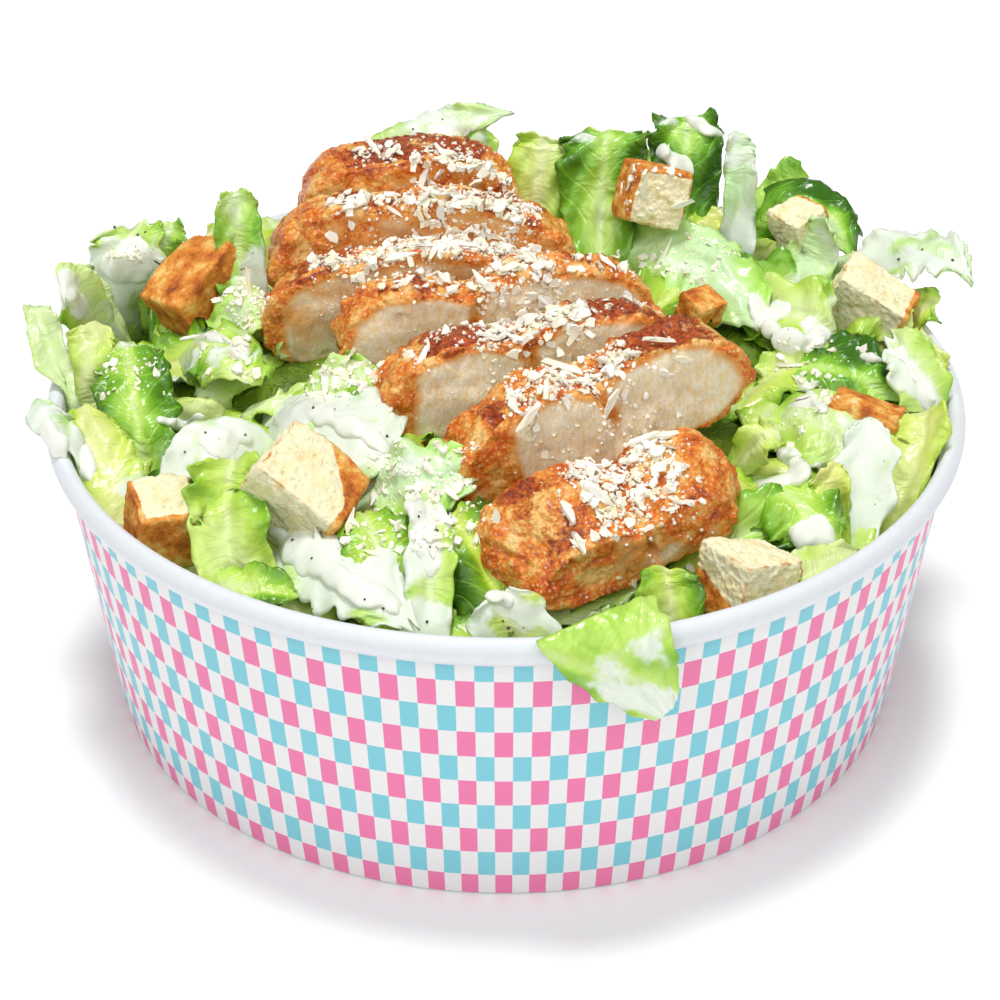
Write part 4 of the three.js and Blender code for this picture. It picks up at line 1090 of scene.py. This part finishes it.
def chip(kind, seed):
    """A small bit of parmesan about the origin, lying flat."""
    draw = draws(seed)
    bm = bmesh.new()
    if kind == "grain":
        bmesh.ops.create_icosphere(bm, subdivisions=1, radius=0.32)
        for vert in bm.verts:
            vert.co *= 0.7 + 0.6 * draw()
    else:
        bmesh.ops.create_circle(bm, cap_ends=True, segments=6, radius=1)
        for vert in bm.verts:
            vert.co *= 0.68 + 0.5 * draw()
            vert.co.z = 0.35 * (draw() - 0.5)
        top = bmesh.ops.extrude_face_region(bm, geom=bm.faces[:])
        lifted = [v for v in top["geom"] if isinstance(v, bmesh.types.BMVert)]
        bmesh.ops.translate(bm, vec=(0, 0, 0.4), verts=lifted)
        for vert in lifted:
            vert.co += Vector((draw() - 0.5, draw() - 0.5, 0.5 * (draw() - 0.5))) * 0.5
        bmesh.ops.recalc_face_normals(bm, faces=bm.faces)
        sizes = {"flake": (1.0 + 0.5 * draw(), 0.75 + 0.35 * draw()), "sliver": (2.2 + draw(), 0.6)}
        length, width = sizes[kind]
        bmesh.ops.scale(bm, vec=(length, width, 1), verts=bm.verts)
    mesh = bpy.data.meshes.new(kind)
    bm.to_mesh(mesh)
    bm.free()
    return mesh


def resting(scene, depsgraph, start, way):
    """Where a line first meets the salad: the point and the surface's normal."""
    start, way = start * MM, way.normalized()
    given = [node.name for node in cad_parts.values()]
    for _ in range(20):
        hit, point, normal, _, piece, _ = scene.ray_cast(depsgraph, start, way)
        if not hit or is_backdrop(piece) or piece.name == "paper_bowl":
            return None
        if piece.name not in given:
            return point / MM, -normal if normal.dot(way) > 0 else normal
        start = point + way * 1e-5
    return None


def dropped(scene, depsgraph, above):
    """Where something falling on the salad at a place comes to rest."""
    return resting(scene, depsgraph, above + Vector((0, -8, 40)), Vector((0, 0.2, -1)))


def scatter(name, chips, places, draw, spread, finish, replaces, smooth=True):
    """Lays chips at places as one piece, each turned at random about the surface's normal."""
    bm = bmesh.new()
    for point, normal, size, lift in places:
        tilt = Vector((draw() - 0.5, draw() - 0.5, draw() - 0.5)) * spread
        up = (normal + tilt).normalized()
        turn = up.to_track_quat("Z", "X").to_matrix().to_4x4() @ Matrix.Rotation(2 * pi * draw(), 4, "Z")
        mesh = chips[int(draw() * len(chips))].copy()
        mesh.transform(Matrix.Translation(point + normal * lift) @ turn @ Matrix.Scale(size, 4))
        bm.from_mesh(mesh)
        bpy.data.meshes.remove(mesh)
    make_piece(bm, name, finish, replaces, smooth)
    for mesh in chips:
        bpy.data.meshes.remove(mesh)


# Settings


def colour_property(name, description, colour):
    return bpy.props.FloatVectorProperty(
        name=name, description=description, subtype="COLOR", size=3, min=0, max=1, default=colour[:3])


def length_property(name, description, size):
    return bpy.props.FloatProperty(
        name=name, description=description, unit="LENGTH", min=0, default=size * MM)


class SaladBowlSettings(bpy.types.PropertyGroup):
    """Sizes and colours of the printed bowl"""

    columns: bpy.props.IntProperty(
        name="Checks around", description="Checks round the bowl, an even number", default=160, min=8, step=2)
    row_height: length_property("Check height", "Height of a row of checks", 6.24)
    first_colour: colour_property("First colour", "Colour of the first row of checks", srgb(240, 122, 172))
    second_colour: colour_property("Second colour", "Colour of the second row of checks", srgb(124, 205, 220))


class SaladLettuceSettings(bpy.types.PropertyGroup):
    """Sizes and colours of the leaves"""

    thickness: length_property("Leaf thickness", "Thickness of a leaf's blade", 0.5)
    fineness: length_property("Leaf grid", "Size of a leaf's faces", 0.85)
    pale: colour_property("Pale green", "Colour of pale blades near their ribs", srgb(226, 243, 172))
    bright: colour_property("Bright green", "Colour of young blades", srgb(202, 233, 112))
    middle: colour_property("Middle green", "Colour of grown blades", srgb(134, 188, 50))
    deep: colour_property("Deep green", "Colour of outer blades", srgb(64, 112, 16))


class SaladDressingSettings(bpy.types.PropertyGroup):
    """Colour of the dressing"""

    colour: colour_property("Dressing", "Colour of the creamy dressing", srgb(243, 247, 238))


class SaladChickenSettings(bpy.types.PropertyGroup):
    """Colours of the chicken"""

    meat: colour_property("Meat", "Colour of the cut faces", srgb(252, 226, 174))
    crust: colour_property("Crust", "Colour of the browned crust", srgb(244, 152, 50))


class SaladBreadSettings(bpy.types.PropertyGroup):
    """Colours of the croutons"""

    crumb: colour_property("Crumb", "Colour of the open crumb", srgb(255, 248, 208))
    crust: colour_property("Crust", "Colour of the baked sides", srgb(236, 152, 54))


class SaladParmesanSettings(bpy.types.PropertyGroup):
    """Amount and colour of the parmesan"""

    colour: colour_property("Parmesan", "Colour of the grated cheese", srgb(255, 253, 244))
    amount: bpy.props.FloatProperty(
        name="Amount", description="Share of the usual amount of cheese", subtype="FACTOR", default=1,
        min=0, max=2)


class SaladStageSettings(bpy.types.PropertyGroup):
    """Floor and light"""

    floor: colour_property("Floor", "Colour of the floor", srgb(253, 253, 253))
    daylight: bpy.props.FloatProperty(
        name="Daylight", description="Light from all round", default=0.16, min=0)
    main_light: bpy.props.FloatProperty(
        name="Main light", description="Strength of the soft light from above", default=2.0, min=0)
    front_light: bpy.props.FloatProperty(
        name="Front lights", description="Strength of each of the two lights in front", default=0.86, min=0)


# Operators


class SALAD_OT_bowl(bpy.types.Operator):
    """Spin the paper bowl with its rolled rim and its print"""

    bl_idname = "salad.bowl"
    bl_label = "Bowl"

    def execute(self, context):
        bm = spun(bowl_profile(), BOWL_TURN_STEPS)
        make_piece(bm, "paper_bowl", printed_paper(context.scene.salad_bowl), ["bowl"])
        return {"FINISHED"}


class SALAD_OT_lettuce(bpy.types.Operator):
    """Lay the heap of leaves on a core of deeper leaves"""

    bl_idname = "salad.lettuce"
    bl_label = "Lettuce"

    def execute(self, context):
        settings = context.scene.salad_lettuce
        leaf_finish = lettuce_leaf(settings, context.scene.salad_dressing)
        self.core()
        names = ("leaves_deep", "leaves_bright", "leaves_dressed", "leaves_under")
        kinds = {name: leaf_mesh() for name in names}
        step = settings.fineness / MM
        solids = Solids(context)
        for number, spec in enumerate(LEAVES, 1):
            depth, _, cover = spec["tone"]
            kind = "leaves_deep" if depth > DEEP_GREEN else "leaves_bright"
            if cover > DRESSED_COVER:
                kind = "leaves_dressed"
            add_leaf(kinds[kind], LeafForm(spec, number), step, solids)
        for number, spec in enumerate(under_leaves(), 100):
            add_leaf(kinds["leaves_under"], LeafForm(spec, number), step * 1.6, solids, low=True)
        for name, bm in kinds.items():
            piece = make_piece(bm, name, leaf_finish, ["lettuce_heap"])
            thicken(piece, settings.thickness)
        return {"FINISHED"}

    def core(self):
        """The body of the heap, kept a little below the leaves."""
        profile = list(CORE_SIDE)
        for step in range(CORE_RINGS + 1):
            radius = CORE_RADIUS * (1 - step / CORE_RINGS)
            profile.append((radius, heap_height(radius, 0) - CORE_DROP))
        bm = spun(profile, CORE_TURN_STEPS)
        for vert in bm.verts:
            if vert.co.z > CORE_SHOULDER:
                vert.co.z += CORE_TILT * vert.co.y + 2.2 * noise(vert.co / 7)
        make_piece(bm, "leaves_core", deep_greens(), ["lettuce_heap"])


class SALAD_OT_rim_leaf(bpy.types.Operator):
    """Hang the loose leaf over the rim"""

    bl_idname = "salad.rim_leaf"
    bl_label = "Leaf over the rim"

    def execute(self, context):
        form = RimLeafForm()
        bm = leaf_mesh()
        places = bm.verts.layers.float_vector["leaf_place"]
        tones = bm.verts.layers.float_vector["leaf_tone"]
        grid = bmesh.ops.create_grid(bm, x_segments=52, y_segments=44, size=1)
        for vert in grid["verts"]:
            u, v = (vert.co.x + 1) / 2, vert.co.y
            ragged = 1 + 0.1 * abs(v) ** 4 * noise(Vector((u * 9, v * 2, 3)))
            fold = 0.8 * noise(Vector((u * 3, v * 3.5, 1))) + 0.3 * noise(Vector((u * 11, v * 10, 2)))
            frill = 0.5 * abs(v) ** 3 * sin(24 * u)
            vert.co = form.at(u, v * ragged, fold + frill)
            coated = smooth_step(u, 0.1, 0.34) * (1 - 0.5 * smooth_step(abs(v), 0.7, 1))
            tone = (between(0.5, 0.38, u), 0.3, 0.5 * coated)
            along = 0.9 * vert.co.x - 0.45 * vert.co.z
            across = 0.45 * vert.co.x + 0.9 * vert.co.z - 62
            set_tone(vert, places, tones, along, across, abs(v), 4, tone)
        finish = lettuce_leaf(context.scene.salad_lettuce, context.scene.salad_dressing)
        piece = make_piece(bm, "leaf_on_rim", finish, ["leaf_over_rim"])
        thicken(piece, context.scene.salad_lettuce.thickness)
        return {"FINISHED"}


class SALAD_OT_chicken(bpy.types.Operator):
    """Shape the slices of grilled chicken"""

    bl_idname = "salad.chicken"
    bl_label = "Chicken"

    def execute(self, context):
        finish = grilled_chicken(context.scene.salad_chicken)
        for number, spec in enumerate(SLICES, 1):
            bm = chicken_slice(spec, number)
            make_piece(bm, f"grilled_slice_{number}", finish, [f"chicken_slice_{number}"])
        return {"FINISHED"}


class SALAD_OT_croutons(bpy.types.Operator):
    """Shape the croutons"""

    bl_idname = "salad.croutons"
    bl_label = "Croutons"

    def execute(self, context):
        finish = toasted_bread(context.scene.salad_bread)
        for number, spec in enumerate(CROUTONS, 1):
            bm = crouton(spec, number)
            make_piece(bm, f"toasted_crouton_{number}", finish, [f"crouton_{number}"])
        return {"FINISHED"}


class SALAD_OT_dressing(bpy.types.Operator):
    """Lay the thick spots and runs of dressing on the leaves"""

    bl_idname = "salad.dressing"
    bl_label = "Dressing"

    def execute(self, context):
        bm = bmesh.new()
        for number, spec in enumerate(LEAVES, 1):
            form = LeafForm(spec, number)
            for count, spot in enumerate(spec["spots"]):
                add_dressing(bm, form, spot, number + 60 * count)
        context.view_layer.update()
        depsgraph = context.evaluated_depsgraph_get()
        for number, (width, path) in enumerate(DRIPS):
            add_drip(bm, context.scene, depsgraph, width, path, number)
        finish = thick_dressing(context.scene.salad_dressing)
        piece = make_piece(bm, "thick_dressing", finish, ["lettuce_heap"])
        merged = piece.modifiers.new("merged", "REMESH")
        merged.mode = "VOXEL"
        merged.voxel_size = DRESSING_VOXEL * MM
        merged.use_smooth_shade = True
        softened = piece.modifiers.new("softened", "SMOOTH")
        softened.factor = 0.5
        softened.iterations = 7
        return {"FINISHED"}


class SALAD_OT_parmesan(bpy.types.Operator):
    """Scatter the parmesan and the pepper"""

    bl_idname = "salad.parmesan"
    bl_label = "Parmesan and pepper"

    def execute(self, context):
        settings = context.scene.salad_parmesan
        draw = draws(77)
        drifts = self.drift_places(context, draw, settings.amount)
        dust = self.drift_places(context, draw, settings.amount * 2.2, 1.9)
        finish = grated_parmesan(settings)
        stood_for = ["lettuce_heap"] + [f"chicken_slice_{n}" for n in range(1, len(SLICES) + 1)]
        for kind, share, each in (("flake", 0.8, 0.8), ("sliver", 0.08, 1.0), ("grain", 1.0, 1.0)):
            chips = [chip(kind, seed) for seed in range(CHIP_KINDS)]
            chosen = [
                (point, normal, (0.5 + 1.1 * draw() ** 2) * each, lift * 0.2 if kind == "grain" else lift)
                for point, normal, lift in (dust if kind == "grain" else drifts) if draw() < share]
            spread = 0.5 if kind == "sliver" else 1.1
            scatter(f"parmesan_{kind}s", chips, chosen, draw, spread, finish, stood_for, smooth=False)
        self.pepper(context, draw)
        return {"FINISHED"}

    def drift_places(self, context, draw, amount, wider=1.0):
        context.view_layer.update()
        depsgraph = context.evaluated_depsgraph_get()
        places = []
        for slice_number, start, end, back, spread, count in SLICE_DRIFTS:
            form = SliceForm(SLICES[slice_number - 1], slice_number)
            for _ in range(round(count * amount)):
                share = between(start, end, draw())
                off = (draw() + draw() + draw() - 1.5) * spread * wider
                above = form.placed(share * form.width / 2, form.height * 0.9, -back + off)
                found = dropped(context.scene, depsgraph, above)
                if found:
                    places.append((*found, 1.1 * draw()))
        for leaf_number, start, end, spread, count in LEAF_DRIFTS:
            form = LeafForm(LEAVES[leaf_number - 1], leaf_number)
            for _ in range(round(count * amount)):
                u, v = between(start, end, draw()), (2 * draw() - 1) * spread
                found = dropped(context.scene, depsgraph, form.at(u, v)[0])
                if found:
                    places.append((*found, 0.2 * draw()))
        return places

    def pepper(self, context, draw):
        depsgraph = context.evaluated_depsgraph_get()
        places = []
        for number in PEPPERED_LEAVES:
            form = LeafForm(LEAVES[number - 1], number)
            for _ in range(PEPPER_A_LEAF):
                found = dropped(context.scene, depsgraph, form.at(0.2 + 0.7 * draw(), 1.2 * draw() - 0.6)[0])
                if found:
                    places.append((*found, 0.6 + 0.6 * draw(), 0.05))
        chips = [chip("grain", seed) for seed in range(20, 26)]
        scatter("pepper_specks", chips, places, draw, 0.6, cracked_pepper(), ["lettuce_heap"])


class SALAD_OT_stage(bpy.types.Operator):
    """Set up the floor, the light and the camera"""

    bl_idname = "salad.stage"
    bl_label = "Stage"

    def execute(self, context):
        settings = context.scene.salad_stage
        bm = bmesh.new()
        bmesh.ops.create_grid(bm, x_segments=1, y_segments=1, size=FLOOR_SIZE)
        bmesh.ops.translate(bm, vec=(0, 0, -FLOOR_DROP), verts=bm.verts)
        mesh = bpy.data.meshes.new("floor")
        bm.to_mesh(mesh)
        bm.free()
        mesh.materials.append(studio_floor(settings))
        floor = bpy.data.objects.new("floor", mesh)
        context.scene.collection.objects.link(floor)
        floor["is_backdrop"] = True
        world = bpy.data.worlds.new("daylight")
        world.use_nodes = True
        sky = world.node_tree.nodes["Background"].inputs
        sky["Color"].default_value = (1, 1, 1, 1)
        sky["Strength"].default_value = settings.daylight
        context.scene.world = world
        context.scene.view_settings.view_transform = "Standard"
        for name, source, softness, strength in LIGHTS:
            self.light(context, name, Vector(source), softness, getattr(settings, strength))
        self.camera(context)
        return {"FINISHED"}

    def light(self, context, name, source, softness, strength):
        lamp = bpy.data.lights.new(name, "SUN")
        lamp.angle = radians(softness)
        lamp.energy = strength
        holder = bpy.data.objects.new(name, lamp)
        holder.location = source * 0.5
        holder.rotation_euler = source.to_track_quat("Z", "Y").to_euler()
        context.scene.collection.objects.link(holder)

    def camera(self, context):
        lens = bpy.data.cameras.new("camera")
        lens.lens = CAMERA_LENS
        lens.sensor_width = SENSOR_WIDTH
        holder = bpy.data.objects.new("camera", lens)
        holder.location = VIEWPOINT * MM
        holder.rotation_euler = Euler((radians(90 - CAMERA_ELEVATION), 0, 0))
        context.scene.collection.objects.link(holder)
        context.scene.camera = holder


class SALAD_PT_panel(bpy.types.Panel):
    """Lists the salad's parts and settings"""

    bl_idname = "SALAD_PT_panel"
    bl_label = "Chicken caesar salad"
    bl_space_type = "VIEW_3D"
    bl_region_type = "UI"
    bl_category = "Salad"

    def draw(self, context):
        for group, (_, *operators) in PARTS.items():
            box = self.layout.box()
            for operator in operators:
                box.operator(operator.bl_idname)
            settings = getattr(context.scene, group)
            for name in settings.__annotations__:
                box.prop(settings, name)


# The settings and operators of each part
PARTS = {
    "salad_bowl": (SaladBowlSettings, SALAD_OT_bowl),
    "salad_lettuce": (SaladLettuceSettings, SALAD_OT_lettuce, SALAD_OT_rim_leaf),
    "salad_dressing": (SaladDressingSettings, SALAD_OT_dressing),
    "salad_chicken": (SaladChickenSettings, SALAD_OT_chicken),
    "salad_bread": (SaladBreadSettings, SALAD_OT_croutons),
    "salad_parmesan": (SaladParmesanSettings, SALAD_OT_parmesan),
    "salad_stage": (SaladStageSettings, SALAD_OT_stage),
}
CLASSES = [each for classes in PARTS.values() for each in classes] + [SALAD_PT_panel]


def register():
    for each in CLASSES:
        bpy.utils.register_class(each)
    for group, classes in PARTS.items():
        setattr(bpy.types.Scene, group, bpy.props.PointerProperty(type=classes[0]))


def unregister():
    for group in PARTS:
        delattr(bpy.types.Scene, group)
    for each in reversed(CLASSES):
        bpy.utils.unregister_class(each)


def main():
    register()
    bpy.ops.salad.bowl()
    bpy.ops.salad.lettuce()
    bpy.ops.salad.rim_leaf()
    bpy.ops.salad.chicken()
    bpy.ops.salad.croutons()
    bpy.ops.salad.dressing()
    bpy.ops.salad.parmesan()
    bpy.ops.salad.stage()
    bpy.context.view_layer.update()


if __name__ == "__main__":
    main()
